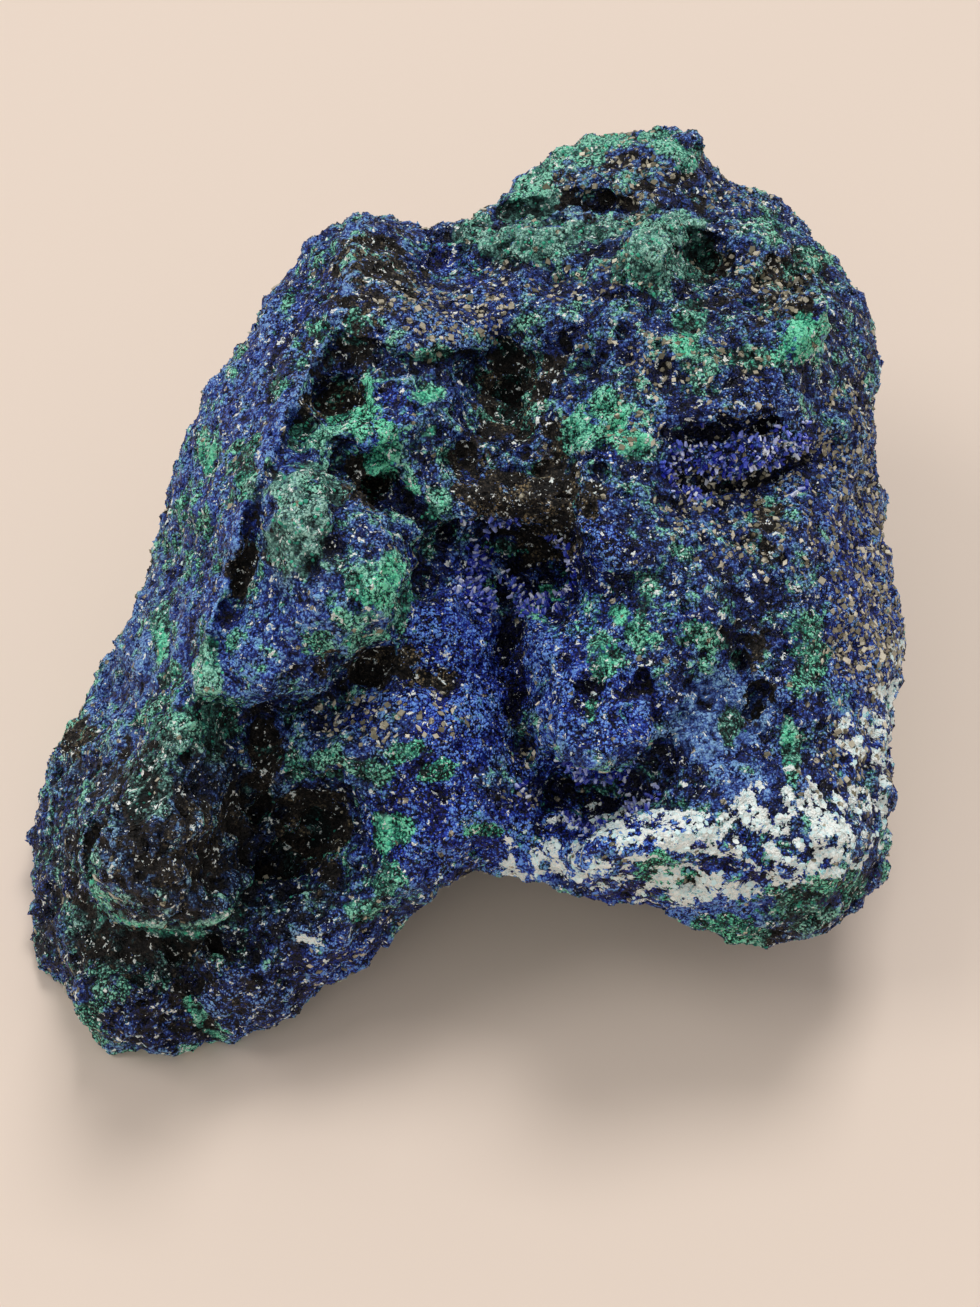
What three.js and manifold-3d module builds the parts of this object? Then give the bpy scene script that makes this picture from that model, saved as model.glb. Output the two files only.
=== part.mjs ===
// Azurite and malachite specimen: one grown mass of rock, and the crusts of small azurite crystals
// that line three of its hollows. Millimetres, +Z up. The stone lies on its own feet on the plane
// z = 0, with its richest face tipped up towards -Y, and the middle of its box is over the origin.
//
// The face is drawn on a flat sheet laid in front of it: a runs to the right, b up the face, and
// w out of the face. A place (a, b) on the sheet means every point that an eye EYE_DISTANCE away
// sees through it, so the outline and the relief use the same two numbers.

import * as THREE from "three";
import { ImprovedNoise } from "three/addons/math/ImprovedNoise.js";
import { mergeVertices } from "three/addons/utils/BufferGeometryUtils.js";
import Module from "manifold-3d";

// ---- Driving dimensions ----------------------------------------------------------------------

const FACE_TILT = THREE.MathUtils.degToRad(52); // how far the face's normal rises above the table
const FACE_CENTRE = new THREE.Vector3(0, 0, 40); // middle of the sheet
const BOX_MIDDLE = new THREE.Vector3(-5, 17.5, 0); // middle of the stone's box, brought over the origin
const EYE_DISTANCE = 400; // from the middle of the sheet to the eye
const CELL = 4.9; // size of the surface's facets
const RELIEF_BLEND = 2; // how far the heights of the face are smoothed into each other
const UNDERSIDE_BLEND = 6;
const RIM_ROUNDING = 3; // how softly the face turns into the sides
const RIM_ALLOWANCE = 1.6; // what the rounding and the facets take off the outline
const SIDE_TAPER = 0.12; // how fast the sides draw in behind the rim
const SIDE_ROUNDING = 4;
const FEATURE_ROUNDING = 1.5; // how softly a pit or lump meets the rock round it
const CRUST_GAP = 0.35; // clear space between a crust and the stone
const CRUST_THICKNESS = 1.2; // bed that the crystals of a crust stand on
const CRYSTAL = { length: 5, width: 4, thickness: 2.6, lean: 0.9, smallest: 0.65 };

// Smooth swellings of the rock: how high, how long, and where their pattern starts.
const SWELLINGS = [
  { height: 2.2, wavelength: 17, shift: 3 },
  { height: 2, wavelength: 10, shift: 8 },
];
const SIDE_SWELLING = { height: 5, wavelength: 29 };
const STRAY = { height: 3, wavelength: 13, shifts: [21, 34, 55] }; // bends pits and lumps out of true

const STONE_BOX = new THREE.Box3(new THREE.Vector3(-88, -72, -18), new THREE.Vector3(88, 106, 102));

// ---- The outline of the face, clockwise from its top left corner: [a, b] ----------------------

const OUTLINE = [
  // top edge, left to right: knob, dip behind the basin, back mound, right shoulder
  [-33, 65.5], [-32, 68.5], [-29.5, 71], [-25.5, 72], [-18.5, 73], [-15, 70.5], [-10.5, 71.5],
  [-5, 71], [-2, 73.5], [1.5, 73], [5, 77.5], [8.5, 79.5], [12, 85], [18.5, 86.5], [21.5, 86],
  [27.5, 88.5], [30.5, 88.5], [33.5, 86], [36, 82.5], [41, 80.5], [46.5, 79.5], [50.5, 76.5],
  [54, 73], [58, 66.5], [60.5, 64], [63, 59],
  // right edge, down
  [63.5, 52.5], [65, 45], [64, 36], [65, 25], [65, 20], [68, 10.5], [70, 7], [70, 0], [69, -4.5],
  [70, -13.5], [69, -16], [70.5, -21], [71.5, -31.5], [69, -36],
  // lower right lobe, and the arch under the front
  [64.5, -41], [61.5, -45.5], [56, -49.5], [51, -52.5], [47, -53.5], [41, -52], [33.5, -51],
  [29, -49], [23, -45], [16.5, -43.5], [9, -42], [1.5, -39.5], [-3, -38.5], [-7, -40],
  [-10.5, -45], [-15, -49.5],
  // left foot
  [-25, -58], [-28.5, -61], [-35, -64], [-38, -66.5], [-45, -68], [-55, -67.5], [-65, -67.5],
  [-67.5, -67], [-69.5, -63.5], [-71.5, -58], [-76.5, -52],
  // left edge, up
  [-77.5, -50.5], [-76.5, -47], [-77.5, -44], [-75, -36], [-76.5, -33.5], [-76, -28.5],
  [-74, -24.5], [-73.5, -18], [-68.5, -11], [-66, -7], [-63.5, -2], [-58.5, 7], [-58, 11],
  [-55.5, 13.5], [-56, 18], [-54, 23.5], [-54, 29], [-52.5, 34], [-51.5, 38], [-48.5, 43],
  [-45, 48], [-43, 53], [-39, 57.5], [-34.5, 62.5],
];

// ---- The relief of the face: [a, b, w] at hand-picked places ----------------------------------

const RELIEF = [
  // rim, clockwise from the top left
  [-24, 71, -4], [-13, 69, -10], [-5, 70, -10], [2, 72, -10], [5, 76, -16], [14, 85, -22],
  [30, 88, -24], [38, 80, -24], [49, 76, -22], [58, 66, -16], [63, 56, -10], [64, 42, -8],
  [64, 26, -6], [69, 8, -3], [69, -8, 0], [70, -28, 5], [65, -40, 7], [50, -52, 10],
  [33, -49, 11], [20, -43, 13], [7, -40, 15], [-5, -38, 13], [-15, -48, 10], [-27, -58, 6],
  [-40, -66, 2], [-65, -66, 2], [-72, -56, -3], [-77, -47, -8], [-76, -31, -12], [-73, -18, -14],
  [-64, -6, -16], [-55, 16, -15], [-52, 36, -13], [-42, 53, -10], [-33, 65, -8],
  // the long ridge down the left of the face, and the wall that falls away to its left
  [-24, 67, 10], [-25, 54, 19], [-32, 42, 26], [-39, 31, 31], [-42, 19, 32], [-46, 6, 33],
  [-50, -8, 33], [-55, -19, 32], [-65, -28, 26], [-66, -36, 22],
  [-37, 54, 5], [-45, 36, 8], [-50, 16, 8], [-57, -1, 6], [-63, -14, 6], [-71, -24, 2],
  [-72, -41, 4],
  // top: basin, rear ledge, back mound, knob and shoulder
  [-18, 67, 4], [-7, 64, -4], [2, 66, 4], [-15, 59, 14], [-7, 56, 15], [5, 57, 10],
  [8, 71, 0], [18, 69, -2], [12, 76, -14], [22, 77, -12], [32, 76, -12], [42, 76, -14],
  [25, 67, 10], [29, 70, 8], [35, 64, -4], [45, 69, 0], [45, 59, 4], [35, 57, 14],
  [25, 57, 15], [18, 59, 10], [15, 54, 14], [57, 54, 2], [50, 51, 14], [42, 51, 17],
  [27, 46, 20],
  // middle: ribs and pits of the brown matrix, and the vug under its ledge
  [-27, 41, 12], [-22, 36, 26], [-15, 46, 21], [-10, 39, 21], [-22, 27, 14], [-12, 27, 19],
  [-8, 17, 17], [-2, 31, 14], [3, 45, 2], [2, 54, 16], [12, 42, 18], [10, 31, 18],
  [7, 25, 19], [3, 16, 2], [10, 11, 4], [2, 9, 10], [20, 34, 24], [18, 19, 26], [25, 21, 25],
  // right half: the banded shoulder, the horseshoe bulge, the cheek and the pale lower lobe
  [35, 42, 24], [48, 42, 20], [43, 35, 24], [38, 29, 14], [48, 31, 14], [35, 22, 25],
  [52, 22, 20], [60, 26, 10], [62, 39, 6], [35, 9, 27], [52, 9, 22], [63, 9, 10],
  [25, 2, 30], [12, 2, 28], [17, -11, 34], [17, -17, 34], [4, -4, 14], [5, -18, 18],
  [17, -24, 14], [25, -23, 22], [45, 2, 22], [43, -8, 21], [52, -8, 24], [62, -8, 16],
  [35, -14, 29], [38, -24, 31], [52, -24, 28], [63, -24, 20], [27, -31, 32], [43, -33, 31],
  [60, -33, 24], [18, -36, 28], [35, -41, 24], [52, -41, 22],
  // left half: the big grey-green bulge and the undercut below it
  [-32, 16, 36], [-32, 29, 34], [-22, 9, 36], [-27, 21, 34], [-40, 9, 28], [-40, 1, 34],
  [-35, -4, 35], [-18, 2, 32], [-17, -3, 20], [-32, -11, 22], [-38, -14, 18], [-7, 6, 20],
  [-8, -8, 24], [-15, -14, 27], [-25, -16, 28], [-7, -23, 27],
  // lower left: the dark hollow, the lower bulge and the foot
  [-32, -29, 10], [-40, -24, 16], [-25, -31, 12], [-18, -29, 22], [-15, -38, 26],
  [-7, -33, 26], [-52, -14, 33], [-57, -26, 34], [-60, -36, 36], [-53, -41, 36],
  [-43, -38, 26], [-48, -29, 26], [-57, -49, 22], [-68, -49, 14], [-45, -51, 22],
  [-35, -46, 24], [-27, -48, 25], [-40, -59, 18], [-57, -59, 14], [-52, -64, 8],
];

// ---- The underside: [x, y, z]. Below zero is a foot, which the table cuts off flat -------------

const UNDERSIDE = [
  // left foot
  [-60, -45, -5], [-45, -50, -4], [-60, -15, -5], [-50, 10, -3],
  // the arch under the front, highest in the middle
  [-25, -48, 8], [-15, -44, 18], [-5, -38, 26], [5, -40, 27], [20, -41, 23], [48, -47, 14],
  [64, -37, 18], [70, -25, 22], [0, -20, 18], [0, 0, 8], [-20, -20, 8], [-30, 0, 2],
  [30, -20, 14], [50, -15, 10], [30, 0, 4], [60, 5, 5],
  // back feet, with a low hollow between them
  [40, 25, -5], [0, 25, -3], [60, 30, -4], [-35, 35, 2], [-20, 55, -5], [20, 55, -5],
  [50, 60, 0], [0, 80, -2],
];

// ---- Broken sides behind the rim: outward direction [x, y, z] and distance from the middle -----

const SIDES = [
  { facing: [0, 0.99, -0.15], reach: 79 },
  { facing: [-0.7, 0.7, 0], reach: 66 },
  { facing: [0.7, 0.7, -0.16], reach: 80 },
  { facing: [1, 0, -0.05], reach: 69 },
  { facing: [0.15, 0.85, -0.5], reach: 58 },
  { facing: [-0.45, 0.7, -0.55], reach: 52 },
  { facing: [0.85, 0.3, -0.45], reach: 63 },
];

// ---- Pits and lumps of the face: place [a, b, w] and half sizes [along a, along b, along w] -----

const PITS = {
  vug: { at: [4, 14.5, 15], size: [9, 7, 15] },
  horseshoeHollow: { at: [17, -23, 23], size: [10, 4.5, 9] },
  horseshoeSlit: { at: [4, -6, 21], size: [3.5, 12, 9] },
  upperHole: { at: [1.5, 43, 13], size: [4.5, 5, 9] },
  upperHoleTop: { at: [3, 51, 13], size: [4, 4, 7] },
  ridgeHole: { at: [-27, 41, 20], size: [5, 4, 8] },
  ribHole: { at: [-20, 28, 20], size: [4.5, 5, 8] },
  cleft: { at: [42, 30.5, 21], size: [12, 4, 9] },
  cleftBranch: { at: [39, 36.5, 24], size: [7, 3, 6] },
  rearPit: { at: [-7, 65, 3], size: [8, 5, 9] },
  knobCavity: { at: [35, 64.5, 5], size: [6, 4, 8] },
  shoulderPit: { at: [43, 63, 10], size: [4, 4, 6] },
  cheekGroove: { at: [44, 6, 26], size: [3.5, 10, 7] },
  darkHollow: { at: [-35, -33, 18], size: [9, 6, 12] },
  darkHollowRoof: { at: [-27, -27, 17], size: [6, 7, 11] },
  darkHollowSide: { at: [-44, -35, 26], size: [5, 5, 9] },
  bulgeUndercut: { at: [-17, -3, 26], size: [10, 4, 9] },
  shelfUndercut: { at: [-33, -11, 27], size: [9, 4, 8] },
  footUndercut: { at: [-53, -49, 30], size: [18, 3.5, 9] },
  archNotch: { at: [7, -30, 26], size: [4, 4, 7] },
};

const LUMPS = {
  greyGreenBulge: { at: [-27, 14, 28], size: [12, 17, 11] },
  bulgeCrown: { at: [-31, 24, 31], size: [7, 6, 7] },
  lowerBulge: { at: [-57, -33, 27], size: [12, 13, 11] },
  horseshoe: { at: [17, -11, 27], size: [9, 11, 9] },
  blueBlock: { at: [19, 17, 23], size: [6, 7, 6] },
  brownLedge: { at: [6, 27, 15], size: [12, 4.5, 7] },
  knob: { at: [28, 68, 6], size: [6, 6, 7] },
  rearLedge: { at: [8, 70, 0], size: [10, 4, 5] },
  mound: { at: [17, 81, -20], size: [6, 5, 6] },
  moundCrest: { at: [30, 83, -20], size: [7, 5, 7] },
  shoulder: { at: [51, 57, 10], size: [6, 7, 7] },
  paleLip: { at: [25, -33, 29], size: [14, 5, 7] },
  cornerLip: { at: [57, -34, 24], size: [9, 7, 6] },
  footToe: { at: [-62, -58, 10], size: [9, 7, 8] },
};

// ---- The three druse-lined hollows: middle [a, b, w], half sizes and number of crystals ---------

const DRUSES = [
  { name: "azurite_druse_centre", at: [4, 14, 5], size: [11, 10, 13], crystals: 14, seed: 11 },
  { name: "azurite_druse_lower", at: [16, -23, 17], size: [12, 6, 10], crystals: 12, seed: 23 },
  { name: "azurite_druse_right", at: [42, 31, 14], size: [13, 7, 9], crystals: 12, seed: 41 },
];

// ---- The sheet in front of the face ------------------------------------------------------------

const RIGHT = new THREE.Vector3(1, 0, 0);
const UP_FACE = new THREE.Vector3(0, Math.sin(FACE_TILT), Math.cos(FACE_TILT));
const OUT_OF_FACE = new THREE.Vector3(0, -Math.cos(FACE_TILT), Math.sin(FACE_TILT));

function ontoSheet(point) {
  const fromCentre = point.clone().sub(FACE_CENTRE);
  const w = fromCentre.dot(OUT_OF_FACE);
  const shrink = 1 - w / EYE_DISTANCE;
  return { a: fromCentre.dot(RIGHT) / shrink, b: fromCentre.dot(UP_FACE) / shrink, w };
}

// ---- Shape helpers ------------------------------------------------------------------------------

// The larger of two distances, with the crease between them rounded over `radius`.
function smoothMax(first, second, radius) {
  const overlap = Math.max(radius - Math.abs(first - second), 0) / radius;
  return Math.max(first, second) + overlap * overlap * radius * 0.25;
}

function smoothMin(first, second, radius) {
  return -smoothMax(-first, -second, radius);
}

// Height at (x, y) of a plane fitted to the samples, the near ones counting most.
function fittedHeight(samples, x, y, softness) {
  const steadiness = 1e-3;
  const sum = { weight: 0, x: 0, y: 0, z: 0 };
  const weights = samples.map(([sx, sy, sz]) => {
    const distance = (sx - x) ** 2 + (sy - y) ** 2 + softness ** 2;
    const weight = 1 / distance ** 2;
    sum.weight += weight;
    sum.x += weight * sx;
    sum.y += weight * sy;
    sum.z += weight * sz;
    return weight;
  });
  const mean = { x: sum.x / sum.weight, y: sum.y / sum.weight, z: sum.z / sum.weight };
  let [xx, xy, yy, xz, yz] = [0, 0, 0, 0, 0];
  samples.forEach(([sx, sy, sz], index) => {
    const [dx, dy, dz] = [sx - mean.x, sy - mean.y, sz - mean.z];
    const weight = weights[index];
    xx += weight * dx * dx;
    xy += weight * dx * dy;
    yy += weight * dy * dy;
    xz += weight * dx * dz;
    yz += weight * dy * dz;
  });
  xx += steadiness;
  yy += steadiness;
  const determinant = xx * yy - xy * xy;
  const slopeX = (xz * yy - yz * xy) / determinant;
  const slopeY = (yz * xx - xz * xy) / determinant;
  return mean.z + slopeX * (x - mean.x) + slopeY * (y - mean.y);
}

// Distance from (x, y) to a closed outline, negative inside it.
function outlineDistance(outline, x, y) {
  let nearest = Infinity;
  let inside = false;
  outline.forEach(([x0, y0], index) => {
    const [x1, y1] = outline[(index + 1) % outline.length];
    const [ex, ey] = [x1 - x0, y1 - y0];
    const along = THREE.MathUtils.clamp(((x - x0) * ex + (y - y0) * ey) / (ex * ex + ey * ey), 0, 1);
    nearest = Math.min(nearest, Math.hypot(x - x0 - along * ex, y - y0 - along * ey));
    if (y0 > y !== y1 > y && x < x0 + ((y - y0) / ey) * ex) inside = !inside;
  });
  return inside ? -nearest : nearest;
}

// Rough distance from a place on the sheet to an ellipsoid, negative inside it.
function ellipsoidDistance({ at, size }, { a, b, w }) {
  const reach = Math.hypot((a - at[0]) / size[0], (b - at[1]) / size[1], (w - at[2]) / size[2]);
  return (reach - 1) * Math.min(...size);
}

// ---- The stone as a distance field: negative inside the rock -------------------------------------

const perlin = new ImprovedNoise();

function swelling(point, { height, wavelength }, shift) {
  const { x, y, z } = point.clone().divideScalar(wavelength);
  return height * perlin.noise(x + shift, y, z - shift);
}

function strayed(point) {
  const push = STRAY.shifts.map((shift) => swelling(point, STRAY, shift));
  return point.clone().add(new THREE.Vector3(...push));
}

function stoneField(point) {
  const { a, b, w } = ontoSheet(point);
  const height = fittedHeight(RELIEF, a, b, RELIEF_BLEND);
  const behindRim = Math.max(height - w, 0);
  const beyondRim = outlineDistance(OUTLINE, a, b) - RIM_ALLOWANCE + SIDE_TAPER * behindRim;
  let field = smoothMax(w - height, beyondRim, RIM_ROUNDING);
  for (const { facing, reach } of SIDES) {
    const beyondSide = new THREE.Vector3(...facing).dot(point) - reach;
    field = smoothMax(field, beyondSide + swelling(point, SIDE_SWELLING, reach), SIDE_ROUNDING);
  }
  const belowStone = fittedHeight(UNDERSIDE, point.x, point.y, UNDERSIDE_BLEND) - point.z;
  field = smoothMax(field, belowStone, SIDE_ROUNDING);
  for (const rise of SWELLINGS) field += swelling(point, rise, rise.shift);
  const place = ontoSheet(strayed(point));
  for (const lump of Object.values(LUMPS)) {
    field = smoothMin(field, ellipsoidDistance(lump, place), FEATURE_ROUNDING);
  }
  for (const pit of Object.values(PITS)) {
    field = smoothMax(field, -ellipsoidDistance(pit, place), FEATURE_ROUNDING);
  }
  return field;
}

// ---- Facets: one vertex in each grid cell that the surface crosses --------------------------------

const CORNERS = [0, 1, 2, 3, 4, 5, 6, 7].map((code) => [code & 1, (code >> 1) & 1, (code >> 2) & 1]);
const CELL_EDGES = [];
for (let from = 0; from < 8; from += 1) {
  for (const step of [1, 2, 4]) if (!(from & step)) CELL_EDGES.push([from, from | step]);
}
const NEIGHBOURS = [[1, 0, 0], [-1, 0, 0], [0, 1, 0], [0, -1, 0], [0, 0, 1], [0, 0, -1]];
const FAINT = 0.4; // distance given to a corner that changes sides

// True where the corners on each side of the surface hang together along the cell's edges.
function isSimpleCell(signs) {
  for (const side of [true, false]) {
    const members = [...signs.keys()].filter((corner) => signs[corner] === side);
    if (members.length === 0) continue;
    const reached = new Set([members[0]]);
    for (const corner of reached) {
      for (const step of [1, 2, 4]) if (signs[corner ^ step] === side) reached.add(corner ^ step);
    }
    if (reached.size < members.length) return false;
  }
  return true;
}

class Grid {
  constructor(box, cell, field) {
    this.cell = cell;
    this.origin = box.min;
    const size = box.getSize(new THREE.Vector3());
    this.count = size.toArray().map((length) => Math.ceil(length / cell) + 1);
    this.values = new Float64Array(this.count[0] * this.count[1] * this.count[2]);
    this.eachCorner((i, j, k) => {
      this.values[this.index(i, j, k)] = field(this.position(i, j, k));
    });
  }

  index(i, j, k) {
    return i + this.count[0] * (j + this.count[1] * k);
  }

  position(i, j, k) {
    return new THREE.Vector3(i, j, k).multiplyScalar(this.cell).add(this.origin);
  }

  eachCorner(visit, margin = 0) {
    for (let k = 0; k < this.count[2] - margin; k += 1) {
      for (let j = 0; j < this.count[1] - margin; j += 1) {
        for (let i = 0; i < this.count[0] - margin; i += 1) visit(i, j, k);
      }
    }
  }

  cornersOf(i, j, k) {
    return CORNERS.map(([di, dj, dk]) => this.index(i + di, j + dj, k + dk));
  }

  // Fills the faintest open corner of each cell that two sheets of the surface would share.
  untangle() {
    let filled = true;
    while (filled) {
      filled = false;
      this.eachCorner((i, j, k) => {
        const corners = this.cornersOf(i, j, k);
        if (isSimpleCell(corners.map((corner) => this.values[corner] < 0))) return;
        const open = corners.filter((corner) => this.values[corner] >= 0);
        const faintest = open.reduce((best, corner) =>
          (this.values[corner] < this.values[best] ? corner : best));
        this.values[faintest] = -FAINT;
        filled = true;
      }, 1);
    }
  }

  // The corners that a walk from `start` reaches over the grid without leaving those that `admits` takes.
  flood(start, admits) {
    const reached = new Uint8Array(this.values.length);
    const queue = [start];
    reached[this.index(...start)] = 1;
    while (queue.length > 0) {
      const [i, j, k] = queue.pop();
      for (const [di, dj, dk] of NEIGHBOURS) {
        const next = [i + di, j + dj, k + dk];
        if (next.some((place, axis) => place < 0 || place >= this.count[axis])) continue;
        const index = this.index(...next);
        if (reached[index] || !admits(index)) continue;
        reached[index] = 1;
        queue.push(next);
      }
    }
    return reached;
  }

  // Fills the bubbles sealed in the rock and drops the crumbs that hang beside it.
  keepOneBody() {
    const outside = this.flood([0, 0, 0], (index) => this.values[index] >= 0);
    const middle = this.count.map((corners) => Math.floor(corners / 2));
    const body = this.flood(middle, (index) => !outside[index]);
    this.values.forEach((value, index) => {
      if (value < 0 !== Boolean(body[index])) this.values[index] = body[index] ? -FAINT : FAINT;
    });
  }

  // The mean of the places where the surface crosses the cell's edges.
  surfacePoint(i, j, k) {
    const corners = this.cornersOf(i, j, k);
    const sum = new THREE.Vector3();
    let crossings = 0;
    for (const [from, to] of CELL_EDGES) {
      const [start, end] = [this.values[corners[from]], this.values[corners[to]]];
      if (start < 0 === end < 0) continue;
      const share = start / (start - end);
      sum.add(new THREE.Vector3(...CORNERS[from]).lerp(new THREE.Vector3(...CORNERS[to]), share));
      crossings += 1;
    }
    if (crossings === 0) return null;
    const inCells = sum.divideScalar(crossings).add(new THREE.Vector3(i, j, k));
    return inCells.multiplyScalar(this.cell).add(this.origin);
  }
}

function facetedSurface(grid) {
  const points = [];
  const pointOfCell = new Map();
  grid.eachCorner((i, j, k) => {
    const point = grid.surfacePoint(i, j, k);
    if (point === null) return;
    pointOfCell.set(grid.index(i, j, k), points.length);
    points.push(point);
  }, 1);
  const triangles = [];
  const addQuad = (quad) => {
    const [p, q, r, s] = quad.map((corner) => points[corner]);
    const [first, second, third, fourth] = quad;
    if (p.distanceTo(r) < q.distanceTo(s)) triangles.push([first, second, third], [first, third, fourth]);
    else triangles.push([second, third, fourth], [second, fourth, first]);
  };
  const steps = [[1, 0, 0], [0, 1, 0], [0, 0, 1]];
  grid.eachCorner((i, j, k) => {
    steps.forEach(([di, dj, dk], axis) => {
      const here = grid.values[grid.index(i, j, k)] < 0;
      if (here === grid.values[grid.index(i + di, j + dj, k + dk)] < 0) return;
      const [left, back] = [steps[(axis + 1) % 3], steps[(axis + 2) % 3]];
      const around = [[0, 0], [1, 0], [1, 1], [0, 1]].map(([m, n]) =>
        pointOfCell.get(grid.index(i - m * left[0] - n * back[0], j - m * left[1] - n * back[1],
          k - m * left[2] - n * back[2])));
      addQuad(here ? around : around.reverse());
    });
  }, 1);
  return { points, triangles };
}

function shapeOf(points, triangles) {
  const geometry = new THREE.BufferGeometry().setFromPoints(points);
  geometry.setIndex(triangles.flat());
  return geometry;
}

// ---- Joins and cuts --------------------------------------------------------------------------------

const wasm = await Module();
wasm.setup();

function asSolid(geometry) {
  const bare = geometry.clone();
  bare.deleteAttribute("normal");
  bare.deleteAttribute("uv");
  const merged = mergeVertices(bare);
  return new wasm.Manifold(new wasm.Mesh({
    numProp: 3,
    vertProperties: new Float32Array(merged.attributes.position.array),
    triVerts: new Uint32Array(merged.index.array),
  }));
}

function asGeometry(solid) {
  const { vertProperties, triVerts } = solid.getMesh();
  const geometry = new THREE.BufferGeometry();
  geometry.setAttribute("position", new THREE.BufferAttribute(vertProperties, 3));
  geometry.setIndex(new THREE.BufferAttribute(triVerts, 1));
  return geometry;
}

function largestBody(solid) {
  return solid.decompose().reduce((best, body) => (body.volume() > best.volume() ? body : best));
}

// ---- The stone --------------------------------------------------------------------------------------

function makeStone() {
  const grid = new Grid(STONE_BOX, CELL, stoneField);
  grid.keepOneBody();
  grid.untangle();
  const { points, triangles } = facetedSurface(grid);
  const size = STONE_BOX.getSize(new THREE.Vector3());
  const aboveTable = new THREE.BoxGeometry(2 * size.x, 2 * size.y, 2 * size.z);
  aboveTable.translate(0, 0, size.z);
  return largestBody(asSolid(shapeOf(points, triangles)).intersect(asSolid(aboveTable)));
}

// ---- The druse crusts -------------------------------------------------------------------------------

// Steady pseudo-random numbers from 0 to 1.
function makeDice(seed) {
  let state = seed;
  return () => {
    state = (state * 1664525 + 1013904223) % 4294967296;
    return state / 4294967296;
  };
}

class Surface {
  constructor(geometry) {
    geometry.computeVertexNormals();
    const { position, normal } = geometry.attributes;
    const indices = [...Array(position.count).keys()];
    this.points = indices.map((i) => new THREE.Vector3().fromBufferAttribute(position, i));
    this.normals = indices.map((i) => new THREE.Vector3().fromBufferAttribute(normal, i));
    this.triangles = [];
    for (let t = 0; t < geometry.index.count; t += 3) {
      this.triangles.push([0, 1, 2].map((corner) => geometry.index.getX(t + corner)));
    }
  }

  middle(triangle) {
    return triangle.reduce((sum, index) => sum.add(this.points[index]), new THREE.Vector3()).divideScalar(3);
  }

  lifted(index, height) {
    return this.points[index].clone().addScaledVector(this.normals[index], height);
  }
}

function edgesOf(triangle) {
  return triangle.map((from, corner) => [from, triangle[(corner + 1) % 3]]);
}

// The edges of a patch that only one of its triangles has.
function rimOf(patch) {
  const edges = new Set(patch.flatMap((triangle) => edgesOf(triangle).map(String)));
  return patch.flatMap(edgesOf).filter(([from, to]) => !edges.has(String([to, from])));
}

// The patch without the triangles that jut out of it or meet the rest at a single corner.
function tidyPatch(triangles) {
  let patch = triangles;
  for (;;) {
    const rim = rimOf(patch);
    const rimEdges = new Set(rim.map(String));
    const turns = new Map();
    for (const [from] of rim) turns.set(from, (turns.get(from) ?? 0) + 1);
    const kept = patch.filter((triangle) =>
      edgesOf(triangle).filter((edge) => rimEdges.has(String(edge))).length < 2
      && !triangle.some((corner) => turns.get(corner) > 1));
    if (kept.length === patch.length) return patch;
    patch = kept;
  }
}

// A bed over a patch of the stone, lifted clear of it and closed round its rim.
function crustBed(surface, patch) {
  const corners = [...new Set(patch.flat())];
  const under = new Map(corners.map((corner, index) => [corner, index]));
  const over = new Map(corners.map((corner, index) => [corner, index + corners.length]));
  const points = [CRUST_GAP, CRUST_GAP + CRUST_THICKNESS].flatMap((height) =>
    corners.map((corner) => surface.lifted(corner, height)));
  const bottom = patch.map((triangle) => triangle.map((corner) => under.get(corner)).reverse());
  const top = patch.map((triangle) => triangle.map((corner) => over.get(corner)));
  const wall = rimOf(patch).flatMap(([from, to]) => [
    [under.get(from), under.get(to), over.get(to)],
    [under.get(from), over.get(to), over.get(from)],
  ]);
  return asSolid(shapeOf(points, [...bottom, ...top, ...wall]));
}

// One azurite crystal: a blade with flat faces and a pointed end, its foot sunk in the bed.
function crystal(foot, direction, scale, dice) {
  const blade = new THREE.OctahedronGeometry(scale / 2);
  blade.scale(CRYSTAL.width, CRYSTAL.thickness, CRYSTAL.length);
  blade.rotateZ(dice() * Math.PI);
  const lean = new THREE.Vector3(dice() - 0.5, dice() - 0.5, dice() - 0.5).multiplyScalar(CRYSTAL.lean);
  const axis = direction.clone().add(lean).normalize();
  blade.applyQuaternion(new THREE.Quaternion().setFromUnitVectors(new THREE.Vector3(0, 0, 1), axis));
  blade.translate(...foot.toArray());
  return asSolid(blade);
}

function makeDruse(surface, stoneWithGap, druse) {
  const patch = tidyPatch(surface.triangles.filter((triangle) =>
    ellipsoidDistance(druse, ontoSheet(surface.middle(triangle))) < 0));
  const dice = makeDice(druse.seed);
  let crust = crustBed(surface, patch);
  for (let n = 0; n < druse.crystals; n += 1) {
    const triangle = patch[Math.floor(dice() * patch.length)];
    const direction = surface.normals[triangle[0]];
    const foot = surface.middle(triangle).addScaledVector(direction, CRUST_GAP + CRUST_THICKNESS);
    const scale = THREE.MathUtils.lerp(CRYSTAL.smallest, 1, dice());
    crust = crust.add(crystal(foot, direction, scale, dice));
  }
  return largestBody(crust.subtract(stoneWithGap));
}

// ---- The specimen -----------------------------------------------------------------------------------

function makeMaterial(color, roughness) {
  return new THREE.MeshStandardMaterial({ color, roughness, metalness: 0, flatShading: true });
}

function makePiece(name, solid, material) {
  const piece = new THREE.Mesh(asGeometry(solid), material);
  piece.name = name;
  return piece;
}

const stone = makeStone();
const surface = new Surface(asGeometry(stone));
const clearance = CRUST_GAP * 0.85;
const stoneWithGap = asSolid(shapeOf(surface.points.map((point, i) => surface.lifted(i, clearance)),
  surface.triangles));

const specimen = new THREE.Group();
specimen.position.copy(BOX_MIDDLE).negate();
specimen.add(makePiece("stone", stone, makeMaterial(0x24386e, 0.8)));
for (const druse of DRUSES) {
  const crust = makeDruse(surface, stoneWithGap, druse);
  specimen.add(makePiece(druse.name, crust, makeMaterial(0x141f78, 0.35)));
}

export default specimen;
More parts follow.
